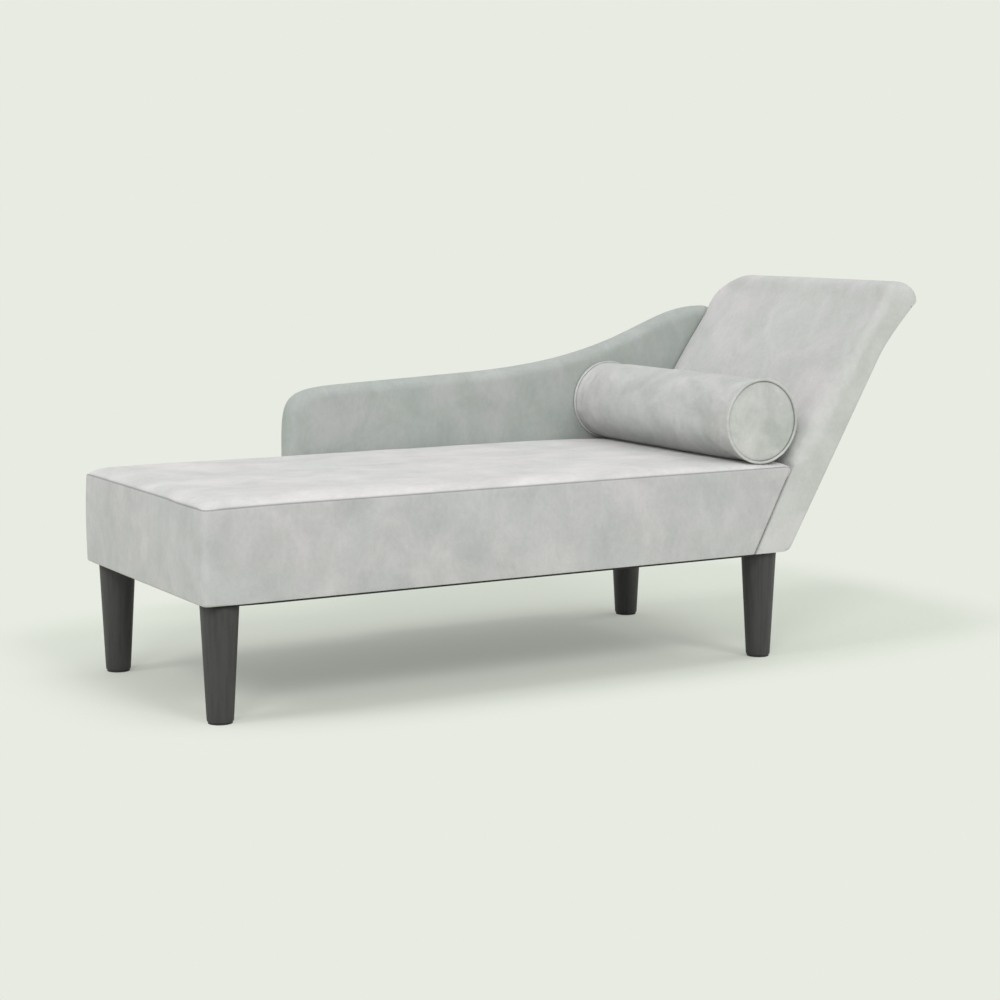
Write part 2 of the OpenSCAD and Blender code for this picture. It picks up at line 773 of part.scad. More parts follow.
// Domed end, with its rim just inside the cover
module bolster_end() {
    rim = body_r(0) - skin;
    dome = [for (a = [0:10:90]) [rim * cos(a), bolster_dome * sin(a)]];
    rotate_extrude($fn = 96) polygon(concat([[0, fit - cover_t], [rim, fit - cover_t]], dome));
}

module bolster_end_front() {
    color("lightgray") laid() mirror([0, 0, 1]) bolster_end();
}

module bolster_end_rear() {
    color("lightgray") laid() translate([0, 0, bolster_l]) bolster_end();
}

module bolster_piping(z) {
    color("lightgray") laid() translate([0, 0, z]) rotate_extrude($fn = 96)
        translate([bolster_r - piping_d / 2, 0]) circle(d = piping_d, $fn = 24);
}

module bolster_piping_front() { bolster_piping(-piping_d / 2 - fit); }
module bolster_piping_rear() { bolster_piping(bolster_l + piping_d / 2 + fit); }

seat_rail_front();
seat_rail_rear();
seat_rail_foot();
seat_rail_head();
seat_cross_rails();
corner_blocks();
webbing_across();
webbing_along();
seat_foam();
seat_top_cover();
seat_side_cover();
lining();
back_upright_front();
back_upright_rear();
back_rail_bottom();
back_rail_middle();
back_rail_top();
back_board();
back_foam();
back_top_roll();
back_cover();
back_side_front();
back_side_rear();
panel_board();
panel_foam_inner();
panel_foam_outer();
panel_cover();
panel_face_inner();
panel_face_outer();
panel_bolts();
frame_bolts();
leg_foot_front();
leg_foot_rear();
leg_head_front();
leg_head_rear();
leg_glides();
hanger_bolts();
insert_nuts();
bolster_filling();
bolster_cover();
bolster_end_front();
bolster_end_rear();
bolster_piping_front();
bolster_piping_rear();
bolster_zip();
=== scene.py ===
import json
import math

import bmesh
import bpy
from mathutils import Euler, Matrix, Vector, kdtree, noise
from mathutils.geometry import interpolate_bezier


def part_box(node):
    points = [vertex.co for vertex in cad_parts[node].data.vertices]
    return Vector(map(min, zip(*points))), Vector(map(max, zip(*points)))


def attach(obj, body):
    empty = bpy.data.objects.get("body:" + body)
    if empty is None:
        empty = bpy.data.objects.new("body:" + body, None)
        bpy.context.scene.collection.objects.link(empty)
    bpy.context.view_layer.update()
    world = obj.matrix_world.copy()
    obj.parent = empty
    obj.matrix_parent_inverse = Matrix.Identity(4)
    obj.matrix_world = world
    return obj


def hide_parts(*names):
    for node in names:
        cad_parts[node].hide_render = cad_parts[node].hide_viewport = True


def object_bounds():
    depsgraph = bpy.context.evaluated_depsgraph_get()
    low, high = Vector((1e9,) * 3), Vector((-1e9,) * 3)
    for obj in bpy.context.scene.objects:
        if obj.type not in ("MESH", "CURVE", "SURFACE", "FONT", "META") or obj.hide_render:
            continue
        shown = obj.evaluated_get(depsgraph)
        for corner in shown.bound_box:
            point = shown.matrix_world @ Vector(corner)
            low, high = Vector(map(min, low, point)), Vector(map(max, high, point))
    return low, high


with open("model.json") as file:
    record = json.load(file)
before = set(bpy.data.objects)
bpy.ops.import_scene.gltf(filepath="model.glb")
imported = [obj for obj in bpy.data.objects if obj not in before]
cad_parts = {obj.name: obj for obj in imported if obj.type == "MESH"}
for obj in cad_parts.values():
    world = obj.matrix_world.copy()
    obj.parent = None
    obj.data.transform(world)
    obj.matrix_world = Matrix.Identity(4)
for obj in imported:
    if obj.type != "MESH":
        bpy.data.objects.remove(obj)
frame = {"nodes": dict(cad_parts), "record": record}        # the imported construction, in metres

cadLow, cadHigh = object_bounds()
scene = bpy.context.scene
scene.view_settings.view_transform = "Standard"

mm = 0.001
weld = 0.001 * mm       # places closer than this are one
up = Vector((0, 0, 1))

# What the frame says about the seat and the rear panel
seatLow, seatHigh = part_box("seat_side_cover")
footX, frontY, underZ = seatLow
rearY, seamZ = seatHigh.y, seatHigh.z
panelLow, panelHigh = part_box("panel_cover")


# Shader maths

class Value:
    # a number in a material: + - * / and ** add Math nodes
    def __init__(self, paint, socket):
        self.paint = paint
        self.socket = socket

    def joined(self, operation, a, b):
        made = self.paint.node("ShaderNodeMath", {"operation": operation}, {0: a, 1: b})
        return Value(self.paint, made.outputs[0])

    def __add__(self, other):
        return self.joined("ADD", self, other)

    def __sub__(self, other):
        return self.joined("SUBTRACT", self, other)

    def __rsub__(self, other):
        return self.joined("SUBTRACT", other, self)

    def __mul__(self, other):
        return self.joined("MULTIPLY", self, other)

    def __truediv__(self, other):
        return self.joined("DIVIDE", self, other)

    def __pow__(self, other):
        return self.joined("POWER", self, other)

    __radd__ = __add__
    __rmul__ = __mul__

    def between(self, low, high):
        # 0 at low and 1 at high, with soft ends
        made = self.paint.node(
            "ShaderNodeMapRange", {"interpolation_type": "SMOOTHSTEP"},
            {"Value": self, "From Min": low, "From Max": high},
        )
        return Value(self.paint, made.outputs[0])


class Paint:
    # the nodes of a material or of the world, put together one by one
    def __init__(self, owner):
        owner.use_nodes = True
        self.owner = owner
        self.tree = owner.node_tree
        self.tree.nodes.clear()
        self.place = None

    def node(self, kind, settings=None, values=None):
        made = self.tree.nodes.new(kind)
        for key, value in (settings or {}).items():
            setattr(made, key, value)
        for key, value in (values or {}).items():
            if isinstance(value, Value):
                value = value.socket
            if isinstance(value, bpy.types.NodeSocket):
                self.tree.links.new(value, made.inputs[key])
            else:
                made.inputs[key].default_value = value
        return made

    def cloud(self, size, detail=3, rough=0.5, stretch=(1, 1, 1), turn=(0, 0, 0), bend=0.0, shift=0.0):
        # noise with blotches of about the given size in metres
        spot = self.node(
            "ShaderNodeMapping", {"vector_type": "TEXTURE"},
            {"Vector": self.place, "Scale": stretch, "Rotation": turn, "Location": (shift, shift, 0)},
        ).outputs[0]
        made = self.node(
            "ShaderNodeTexNoise", {},
            {"Vector": spot, "Scale": 0.5 / size, "Detail": detail, "Roughness": rough, "Distortion": bend},
        )
        return Value(self, made.outputs[0])

    def attribute(self, name):
        return Value(self, self.node("ShaderNodeAttribute", {"attribute_name": name}).outputs["Fac"])

    def mixed(self, share, a, b):
        return self.node("ShaderNodeMix", {"data_type": "RGBA"}, {"Factor": share, 6: a, 7: b}).outputs[2]

    def scaled(self, tone, share):
        return self.node("ShaderNodeVectorMath", {"operation": "SCALE"}, {0: tone, "Scale": share}).outputs[0]

    def bump(self, height, distance, strength=1.0, under=None):
        values = {"Height": height, "Distance": distance, "Strength": strength}
        if under is not None:
            values["Normal"] = under
        return self.node("ShaderNodeBump", {}, values).outputs[0]

    def finish(self, **values):
        values = {key.replace("_", " "): value for key, value in values.items()}
        shader = self.node("ShaderNodeBsdfPrincipled", {}, values)
        self.node("ShaderNodeOutputMaterial", {}, {"Surface": shader.outputs[0]})
        return self.owner


def paintNamed(name):
    # an empty material that reads the object's own coordinates
    paint = Paint(bpy.data.materials.new(name))
    paint.place = paint.node("ShaderNodeTexCoord").outputs["Object"]
    return paint


def colour(red, green, blue):
    # a colour as a screen shows it, 0 to 255, made linear
    return tuple(
        c / 12.92 if c < 0.04045 else ((c + 0.055) / 1.055) ** 2.4
        for c in (red / 255, green / 255, blue / 255)
    ) + (1.0,)


# Velvet: two close tones in soft clouds, smudges where it was stroked, a short nap, and painted shade at
# seams, in grooves and under the bolster

velvetLook = {
    "patch": 0.11, "smudge": 0.036, "stroke": 0.0040, "nap": 0.0012, "patchShare": 0.6,
    "coolBelow": 0.40, "warmAbove": 0.62, "bend": 0.5, "smudgeShade": 0.46, "strokeShade": 0.16,
    # seamShade is how dark the painted shade gets where a piece's attribute is full
    "napShade": 0.14, "seamShade": 0.50, "smudgeBump": 0.8, "bumpDepth": 0.0012, "napDepth": 0.0003,
    "napBump": 0.5, "sheen": 0.30, "sheenRough": 0.35, "rough": 0.86, "roughSpread": 0.12,
    "gloss": 0.25, "sheenTint": (0.98, 1.0, 0.98, 1.0),
}


def velvet(name, warm, cool, along=(1, 1, 1), turn=(0, 0, 0), shift=0.0, smudge=1.0):
    # along says how far smudges and strokes run in x, y and z, smudge how strong they are
    look = velvetLook
    paint = paintNamed(name)
    bend, patchShare, smudgeBump = look["bend"], look["patchShare"], look["smudgeBump"]
    patches = paint.cloud(look["patch"], 2, 0.5, bend=bend, shift=shift)
    smudges = paint.cloud(look["smudge"], 4, 0.6, stretch=along, turn=turn, bend=bend, shift=shift + 3.1)
    strokes = paint.cloud(look["stroke"], 2, 0.6, stretch=along, turn=turn, shift=shift + 7.3)
    nap = paint.cloud(look["nap"], 2, 0.7)
    # painted shade, read from the attribute that each piece keeps: darker at seams, in grooves and on the
    # bolster's underside
    seam = paint.attribute("paintedShade")
    hue = (patches * patchShare + smudges * (1 - patchShare)).between(look["coolBelow"], look["warmAbove"])
    shade = (smudges - 0.5) * (look["smudgeShade"] * smudge) + (strokes - 0.5) * look["strokeShade"]
    shade = (shade + (nap - 0.5) * look["napShade"] + 1.0) * (1.0 - seam * look["seamShade"])
    normal = paint.bump(smudges * smudgeBump + strokes * (1 - smudgeBump), look["bumpDepth"])
    normal = paint.bump(nap, look["napDepth"], look["napBump"], normal)
    return paint.finish(
        Base_Color=paint.scaled(paint.mixed(hue, cool, warm), shade),
        Roughness=smudges * look["roughSpread"] + (look["rough"] - look["roughSpread"] / 2),
        Normal=normal, Specular_IOR_Level=look["gloss"], Sheen_Weight=look["sheen"],
        Sheen_Roughness=look["sheenRough"], Sheen_Tint=look["sheenTint"],
    )


woodLook = {
    "ring": 0.012, "pore": 0.0012, "run": 14.0, "bend": 1.2, "blend": (0.35, 0.65), "roughSpread": 0.2,
    "bumpDepth": 0.0002, "bump": 0.5,
}
speckLook = {"blend": (0.3, 0.7), "roughSpread": 0.2, "bump": 0.5}


def wood(name, light, dark, along, rough):
    # along is the axis that the grain follows
    look = woodLook
    paint = paintNamed(name)
    stretch = tuple(look["run"] if k == along else 1.0 for k in range(3))
    rings = paint.cloud(look["ring"], 5, 0.6, stretch=stretch, bend=look["bend"])
    pores = paint.cloud(look["pore"], 3, 0.5, stretch=stretch)
    return paint.finish(
        Base_Color=paint.mixed(rings.between(*look["blend"]), light, dark),
        Roughness=pores * look["roughSpread"] + (rough - look["roughSpread"] / 2),
        Normal=paint.bump(pores, look["bumpDepth"], look["bump"]),
    )


def plain(name, tone, rough, grain=0.002, depth=0.0004, spread=0.25, metal=0.0):
    # one tone with fine specks
    look = speckLook
    paint = paintNamed(name)
    specks = paint.cloud(grain, 4, 0.6)
    darker = tuple(c * (1 - spread) for c in tone[:3]) + (1.0,)
    return paint.finish(
        Base_Color=paint.mixed(specks.between(*look["blend"]), tone, darker), Metallic=metal,
        Roughness=specks * look["roughSpread"] + (rough - look["roughSpread"] / 2),
        Normal=paint.bump(specks, depth, look["bump"]),
    )


legLook = {
    "light": colour(66, 64, 66), "dark": colour(56, 54, 57), "grain": 0.004, "run": 16, "bend": 0.4,
    "rubbed": 0.05, "rubbedRough": 0.16, "grainRough": 0.1, "rough": 0.40, "depth": 0.0003,
    "bump": 0.35, "gloss": 0.45,
}


def legFinish():
    look = legLook
    paint = paintNamed("blackSatin")
    grain = paint.cloud(look["grain"], 4, 0.6, stretch=(1, 1, look["run"]), bend=look["bend"])
    rubbed = paint.cloud(look["rubbed"], 3, 0.5)
    return paint.finish(
        Base_Color=paint.mixed(grain.between(0.4, 0.7), look["light"], look["dark"]),
        Roughness=rubbed * look["rubbedRough"] + grain * look["grainRough"] + look["rough"],
        Normal=paint.bump(grain, look["depth"], look["bump"]), Specular_IOR_Level=look["gloss"],
    )


print("materials")
# painted light and shade: one velvet in five tones, lightest on the seat top and darkest on the rear panel,
# for how the light falls on each piece and partly for the lie of the pile
slotFinish = {
    "velvet_seat": velvet(
        "seatVelvet", colour(221, 218, 218), colour(216, 217, 215), (1.5, 1.1, 1), shift=1.0),
    "velvet_band": velvet(
        "bandVelvet", colour(200, 197, 199), colour(195, 196, 196), (1, 1, 1.3), shift=2.0),
    "velvet_back": velvet(
        "backVelvet", colour(208, 206, 206), colour(203, 205, 202), (1, 1.1, 1.3),
        turn=(0, math.radians(35), 0), shift=4.0, smudge=0.8),
    "velvet_panel": velvet(
        "panelVelvet", colour(182, 185, 182), colour(176, 183, 178), (1, 1, 1.3),
        shift=6.0, smudge=0.9),
    "velvet_bolster": velvet(
        "bolsterVelvet", colour(203, 202, 201), colour(196, 199, 196), (1, 1.2, 1),
        shift=9.0, smudge=1.4),
    "lining": plain("liningCloth", colour(38, 38, 38), 0.9, 0.001),
    "webbing": plain("webbingCloth", colour(34, 34, 34), 0.85, 0.001),
    "foam": plain("cutFoam", colour(226, 216, 178), 0.95, 0.0015, 0.0008, 0.12),
    "frame_wood": wood("softwood", colour(208, 176, 130), colour(182, 144, 98), 0, 0.65),
    "plywood": wood("plywoodFace", colour(214, 186, 142), colour(190, 158, 112), 2, 0.7),
    "leg_black": legFinish(),
    "glide": plain("glidePlastic", colour(48, 48, 48), 0.5),
    "steel": plain("zincSteel", colour(170, 172, 174), 0.35, 0.003, 0.0001, 0.1, 1.0),
    "zip": plain("zipCoil", colour(164, 172, 168), 0.5),
}
slotOf = {part["node"]: part["material_slot"] for part in frame["record"]["subparts"]}
for name, piece in frame["nodes"].items():
    piece.data.materials.clear()
    piece.data.materials.append(slotFinish[slotOf[name]])


# Ways of making meshes

def softStep(value, zeroAt, oneAt):
    # 0 at one place and 1 at the other, with soft ends
    share = min(max((value - zeroAt) / (oneAt - zeroAt), 0.0), 1.0)
    return share * share * (3 - 2 * share)


def rollIn(radius, distance):
    # how far a rounded edge draws in at a distance from its side
    if radius <= 0 or distance >= radius:
        return 0.0
    return radius - math.sqrt(radius ** 2 - (radius - max(distance, 0.0)) ** 2)


def roundSteps(radius, count):
    # distances from an edge, close together where it turns
    return [radius * (1 - math.cos(math.pi / 2 * k / count)) for k in range(count + 1)]


def evenSteps(low, high, step):
    count = max(1, round((high - low) / step))
    return [low + (high - low) * k / count for k in range(count + 1)]


def roundedSteps(firstRadius, lastRadius, count, low, high, step):
    # places from low to high, close together in the rounding at each end
    first = [low + d for d in roundSteps(firstRadius, count)]
    last = [high - d for d in reversed(roundSteps(lastRadius, count))]
    return first + evenSteps(first[-1], last[0], step)[1:-1] + last


leastSlope = 0.6        # keeps the ends of a nearly level outline from running away


def heading(line, k):
    return (line[min(k + 1, len(line) - 1)] - line[max(k - 1, 0)]).normalized()


def insetLine(line, depths):
    # an open outline in x and z moved inwards; its two ends keep their height
    moved = []
    for k, (point, depth) in enumerate(zip(line, depths)):
        way = heading(line, k)
        if k in (0, len(line) - 1):
            slope = math.copysign(max(abs(way[1]), leastSlope), way[1])
            moved.append(point + Vector((depth / slope, 0)))
        else:
            moved.append(point + depth * Vector((way[1], -way[0])))
    return moved


def curve(a, handleA, handleB, b, count):
    return interpolate_bezier(a, handleA, handleB, b, count + 1)


def gridOn(columns, rows, placeOf):
    # a grid whose points placeOf(column, row) puts in place, tagged along its first and last column
    bm = bmesh.new()
    bmesh.ops.create_grid(bm, x_segments=columns - 1, y_segments=rows - 1, size=1)
    for vert in bm.verts:
        column = round((vert.co.x + 1) / 2 * (columns - 1))
        row = round((vert.co.y + 1) / 2 * (rows - 1))
        vert.co = placeOf(column, row)
        vert.tag = column in (0, columns - 1)
    return bm


def boundary(bm):
    return [e for e in bm.edges if e.is_boundary]


def closeUp(bm):
    # fills each open loop, faces everything outwards and gives back the new faces
    made = bmesh.ops.holes_fill(bm, edges=boundary(bm), sides=0)["faces"]
    bmesh.ops.recalc_face_normals(bm, faces=bm.faces)
    return made


def spun(line, centre, axis, turns):
    # a line of places turned once round an axis
    bm = bmesh.new()
    verts = [bm.verts.new(place) for place in line]
    edges = [bm.edges.new(pair) for pair in zip(verts, verts[1:])]
    bmesh.ops.spin(
        bm, geom=verts + edges, cent=centre, axis=axis, angle=2 * math.pi, steps=turns,
        use_merge=True, use_duplicate=False)
    bmesh.ops.remove_doubles(bm, verts=bm.verts, dist=weld)
    bmesh.ops.recalc_face_normals(bm, faces=bm.faces)
    return bm


def wrap(lineAt, places):
    # a cover that goes over an outline: one outline for each place across, and closed sides
    lines = [lineAt(y) for y in places]
    columns = len(lines[0])
    bm = gridOn(columns, len(places), lambda c, r: (lines[r][c][0], places[r], lines[r][c][1]))
    ends = [e for e in boundary(bm) if abs(e.verts[0].co.y - e.verts[1].co.y) > 1e-9]
    bmesh.ops.bridge_loops(bm, edges=ends)
    return bm, closeUp(bm)


def awayFrom(line, place):
    # the distance in x and z to the nearest edge of an outline
    nearest = 1.0
    for a, b in zip(line, line[1:] + line[:1]):
        run = b - a
        share = min(max((place - a).dot(run) / max(run.length_squared, 1e-12), 0.0), 1.0)
        nearest = min(nearest, (a + run * share - place).length)
    return nearest


def crownSides(bm, sides, step, depth, width):
    # dices flat sides and gives them a low crown
    for side in sides:
        line = [v.co.xz for v in side.verts]
        y = side.verts[0].co.y
        outward = side.normal.y
        faces = cutUp(bm, cutUp(bm, [side], 0, step), 2, step)
        for vert in {v for f in faces for v in f.verts}:
            away = awayFrom(line, vert.co.xz)
            vert.co.y = y + outward * depth * (1 - math.exp(-away / width))


def cutUp(bm, faces, axis, step):
    # cuts flat faces into strips, so that they can take soft dents
    normal = Vector([float(k == axis) for k in range(3)])
    spots = [v.co[axis] for f in faces for v in f.verts]
    parts = faces
    for place in evenSteps(min(spots), max(spots), step)[1:-1]:
        edges = dict.fromkeys(e for f in parts for e in f.edges)
        verts = dict.fromkeys(v for f in parts for v in f.verts)
        made = bmesh.ops.bisect_plane(
            bm, geom=parts + list(edges) + list(verts), dist=weld, plane_co=normal * place, plane_no=normal)
        parts = [g for g in dict.fromkeys(made["geom"]) if isinstance(g, bmesh.types.BMFace)]
    return parts


def offFloor(place, height):
    # 0 at the underside and 1 from some height above it
    return min(1.0, max(0.0, (place.z - underZ) / height))


def soften(bm, size, height, seed, share=lambda place: 1.0):
    # low dents and swells along the normals
    bm.normal_update()
    shift = Vector((seed, seed * 0.7, -seed))
    for vert in bm.verts:
        swell = noise.noise(vert.co / size + shift)
        vert.co += vert.normal * (height * swell * share(vert.co))


sharpAngle = math.radians(50)      # past this an edge is shaded as an edge


def finishPiece(name, bm, slotName, nodes=(), body="couch", paintedShade=None, placed=None):
    # makes the object, gives it its finish and ties it to the frame
    # the function given here puts painted shade on each vertex, kept in an attribute that darkens the velvet
    if paintedShade:
        layer = bm.verts.layers.float.new("paintedShade")
        for vert in bm.verts:
            vert[layer] = paintedShade(vert.co)
    if placed:
        for vert in bm.verts:
            vert.co = placed(vert.co)
    for face in bm.faces:
        face.smooth = True
    mesh = bpy.data.meshes.new(name)
    bm.to_mesh(mesh)
    bm.free()
    mesh.set_sharp_from_angle(angle=sharpAngle)
    piece = bpy.data.objects.new(name, mesh)
    scene.collection.objects.link(piece)
    mesh.materials.append(slotFinish[slotName])
    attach(piece, body)
    if nodes:
        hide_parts(*nodes)
    print("made", name, len(mesh.polygons), "faces")


# Covers that swell as cloth over their filling

clothLook = {"voxel": 6 * mm, "pressure": 4.0, "frames": 20, "spare": 0.012, "near": 5, "blur": 0.5 * mm}


def clothSwell(bm, cap, held):
    # blows a closed cover up as cloth and tells how far each place of it moves, softly capped
    look = clothLook
    mesh = bpy.data.meshes.new("cover")
    bm.to_mesh(mesh)
    bm.free()
    cover = bpy.data.objects.new("cover", mesh)
    scene.collection.objects.link(cover)
    even = cover.modifiers.new("even", "REMESH")
    even.mode = "VOXEL"
    even.voxel_size = look["voxel"]
    start = bpy.data.meshes.new_from_object(cover.evaluated_get(bpy.context.evaluated_depsgraph_get()))
    cover.modifiers.clear()
    cover.data = start
    still = cover.vertex_groups.new(name="still")
    still.add([v.index for v in start.vertices if held(v.co)], 1.0, "REPLACE")
    cloth = cover.modifiers.new("cloth", "CLOTH")
    cloth.settings.vertex_group_mass = "still"
    cloth.settings.use_pressure = True
    cloth.settings.uniform_pressure_force = look["pressure"]
    cloth.settings.shrink_min = -look["spare"]
    cloth.settings.effector_weights.gravity = 0
    cloth.point_cache.frame_end = look["frames"]
    for step in range(1, look["frames"] + 1):
        scene.frame_set(step)
    blown = bpy.data.meshes.new_from_object(cover.evaluated_get(bpy.context.evaluated_depsgraph_get()))
    moves = [end.co - rest.co for end, rest in zip(blown.vertices, start.vertices)]
    moves = [move * (cap / (cap + move.length)) for move in moves]
    tree = kdtree.KDTree(len(moves))
    for k, rest in enumerate(start.vertices):
        tree.insert(rest.co, k)
    tree.balance()
    scene.frame_set(1)
    bpy.data.objects.remove(cover)
    print("cloth", len(moves), "points, moved up to", round(max(m.length for m in moves) / mm, 1), "mm")

    def moveAt(place):
        total, weights = Vector(), 0.0
        for spot, k, distance in tree.find_n(place, look["near"]):
            weight = 1 / (distance + look["blur"])
            total += moves[k] * weight
            weights += weight
        return total / weights

    return moveAt


# Seat: a band round three sides and a crowned top, sewn together

# In these, a pair of lengths says where a soft step is 0 and where it is 1. The back's shape stands
# here too, because the seat ends along its lean.
seatShape = {
    "underLength": 1.109, "cornerRadius": 12 * mm, "headCorner": 14 * mm, "endRound": 6 * mm,
    "endGap": 1.0 * mm, "bottomRound": 5 * mm, "frontBottom": 0.3, "seamRound": 3.5 * mm,
    "turnedUnder": 9 * mm, "turnedIn": 8 * mm, "bulge": 1.6 * mm, "bulgeFromHead": (8 * mm, 58 * mm),
    "sharpFromFoot": (20 * mm, 70 * mm), "dropBelowSeam": (-25 * mm, -5 * mm),
    "cornerSag": 1.8 * mm, "sagAcross": (165 * mm, 115 * mm), "sagAlong": (150 * mm, 0),
    "sagUp": (60 * mm, 150 * mm), "dent": 0.9 * mm, "dentSize": 110 * mm,
    # painted shade: how far it reaches from the seam and from the groove, and how dark the groove gets
    "seamShade": (2.2 * mm, 0.6 * mm), "grooveShade": (5 * mm, 0), "grooveShadeStrength": 0.5, "step": 8 * mm,
}
seatTopShape = {
    "crown": 13.5 * mm, "roll": 42 * mm, "fall": 0.310, "headLift": 0.48, "headRun": 20 * mm,
    "headCorner": 10 * mm, "crownDrop": 0.5, "seamDip": 2.4 * mm, "seamDepth": 1.3 * mm,
    "skirt": 6 * mm, "pucker": 0.45 * mm, "puckerPitch": 55, "puckerRun": 18 * mm, "swell": 1.1 * mm,
    # seamShade is how far the painted shade reaches in from the seam
    "swellPitch": 9, "swellRun": 60 * mm, "seamShade": (1.8 * mm, 0.3 * mm), "step": 8 * mm,
}
backShape = {
    "seamLean": math.radians(28.1), "faceLean": math.radians(35.6), "rearLean": math.radians(30.7),
    "flareLean": math.radians(47), "underWidth": 83 * mm, "ridgeZ": 0.707, "tipDrop": 31 * mm,
    "flare": 28 * mm, "flareHeight": 118 * mm, "ridgeBack": 50 * mm, "ridgeRoll": 40 * mm,
    "rollPull": (20 * mm, 25 * mm), "crestPull": (30 * mm, 19 * mm), "flarePull": (0.43, 0.35),
    "footRound": 14 * mm, "footPull": 4 * mm, "footTurn": 8 * mm,
    "seamEdge": 3.5 * mm, "lowEdge": 27 * mm, "faceEdge": 18 * mm, "rearEdge": 10 * mm,
    "edgeOpens": (-3 * mm, 26 * mm), "edgeTightens": (100 * mm, 220 * mm), "ridgeTurn": 10 * mm,
    "faceSwell": 8 * mm, "swellUp": 30 * mm, "swellDown": 200 * mm, "swellIn": (4 * mm, 44 * mm),
    "cornerFront": 26 * mm, "cornerRear": 88 * mm, "cornerShare": 0.87, "earlyPast": 30 * mm,
    "early": 1.1, "sideCrown": 1.5 * mm, "crownRun": 25 * mm, "dent": 1.1 * mm, "dentSize": 140 * mm,
    # grooveReach, grooveShade and the groove's strength place the painted shade in the groove at the seat
    "sideDent": 0.35, "stillFoot": 50 * mm, "grooveReach": 4 * mm, "grooveShade": (4 * mm, 1 * mm),
    "grooveShadeStrength": 0.5, "seamStep": 13 * mm, "step": 9 * mm, "dice": 12 * mm,
}
seamFootX = footX + seatShape["underLength"]


def seamX(z):
    return seamFootX + math.tan(backShape["seamLean"]) * (z - underZ)


def faceX(z):
    return seamX(seamZ) + math.tan(backShape["faceLean"]) * (z - seamZ)


def rearX(z):
    return seamFootX + backShape["underWidth"] + math.tan(backShape["rearLean"]) * (z - underZ)


headX = seamX(seamZ) - seatShape["endGap"]


def bandMesh():
    # columns go round the plan from the head end to the head end, rows up the side
    s = seatShape
    corner = s["cornerRadius"]
    straight = headX - footX - corner
    fromHead = roundSteps(s["headCorner"], 6)
    fromHead += evenSteps(fromHead[-1], straight, s["step"])[1:]
    shares = [d / straight for d in fromHead]
    turns = evenSteps(0, math.pi / 2, math.pi / 16)
    foot = evenSteps(frontY + corner, rearY - corner, s["step"])[1:-1]
    plan = [("side", frontY, share) for share in shares[:-1]]
    plan += [("arc", frontY, turn) for turn in turns]
    plan += [("foot", y, 0) for y in foot]
    plan += [("arc", rearY, turn) for turn in reversed(turns)]
    plan += [("side", rearY, share) for share in reversed(shares[:-1])]
    quarter = evenSteps(0, math.pi / 2, math.pi / 10)
    sides = evenSteps(0, 1, 0.05)[1:-1]
    rows = [("under", 0)] + [("bottom", a) for a in quarter] + [("side", u) for u in sides]
    rows += [("top", a) for a in quarter] + [("inside", 0)]

    def placeOf(column, row):
        kind, at, along = plan[column]
        part, step = rows[row]
        inward = Vector((0, 1 if at < 0 else -1))
        head = 1.0
        if kind == "side":
            x, y = headX - along * straight, at
            head = softStep(headX - x, *s["bulgeFromHead"])
        elif kind == "foot":
            x, y, inward = footX, at, Vector((1, 0))
        else:
            inward = Vector((math.sin(along), inward.y * math.cos(along)))
            x = footX + corner - corner * math.sin(along)
            y = at + corner * (1 if at < 0 else -1) * (1 - math.cos(along))
        sharp = 1 - (1 - s["frontBottom"]) * softStep(x - footX, *s["sharpFromFoot"])
        low, high = s["bottomRound"] * sharp, s["seamRound"]
        if part == "under":
            depth, z = s["turnedUnder"], underZ
        elif part == "bottom":
            depth, z = low * (1 - math.sin(step)), underZ + low * (1 - math.cos(step))
        elif part == "side":
            z = underZ + low + step * (seamZ - high - underZ - low)
            depth = -s["bulge"] * 4 * step * (1 - step) * head
        elif part == "top":
            depth, z = high * (1 - math.cos(step)), seamZ - high * (1 - math.sin(step))
        else:
            depth, z = s["turnedIn"], seamZ
        if kind == "side":
            depth += rollIn(s["endRound"], headX - x)
            x -= (headX - seamX(z) + s["endGap"]) * (x - footX - corner) / straight
        place = Vector((x + inward.x * depth, y + inward.y * depth, z))
        place.z -= seamSag(place) * softStep(z - underZ, *s["sagUp"])
        if kind == "side":
            place.z -= rollIn(s["headCorner"], along * straight) * softStep(z - seamZ, *s["dropBelowSeam"])
        return place

    bm = gridOn(len(plan), len(rows), placeOf)
    bmesh.ops.bridge_loops(bm, edges=[e for e in boundary(bm) if all(v.tag for v in e.verts)])
    closeUp(bm)

    def share(place):
        # dents only between the band's two edges
        height = (place.z - underZ) / (seamZ - underZ)
        return min(1.0, 6 * height * (1 - height)) if 0 < height < 1 else 0.0

    soften(bm, s["dentSize"], s["dent"], 3.0, share)
    return bm


def seamSag(place):
    # the seam hangs a little lower towards the near corner of the foot end
    s = seatShape
    across, along = softStep(place.y - frontY, *s["sagAcross"]), softStep(place.x - footX, *s["sagAlong"])
    return s["cornerSag"] * across * along


def headDrop(place, radius):
    # both covers turn down into the groove at the back
    return rollIn(radius, headX - place.x)


def bandPaintedShade(place):
    # painted shade along the seam, and less of it in the groove at the back
    s = seatShape
    below = seamZ - seamSag(place) - headDrop(place, s["headCorner"]) - place.z
    seam = softStep(below, *s["seamShade"])
    if place.z > seamZ - s["turnedIn"]:
        return seam
    groove = softStep(seamX(place.z) - s["endGap"] - place.x, *s["grooveShade"])
    return max(seam, s["grooveShadeStrength"] * groove)


print("seat")
finishPiece("seatBand", bandMesh(), "velvet_band", ["seat_side_cover"], paintedShade=bandPaintedShade)


def rise(distance, width):
    # a quarter of an ellipse, from 0 at an edge to 1
    return math.sqrt(max(0.0, 1 - (1 - min(max(distance, 0.0), width) / width) ** 2))


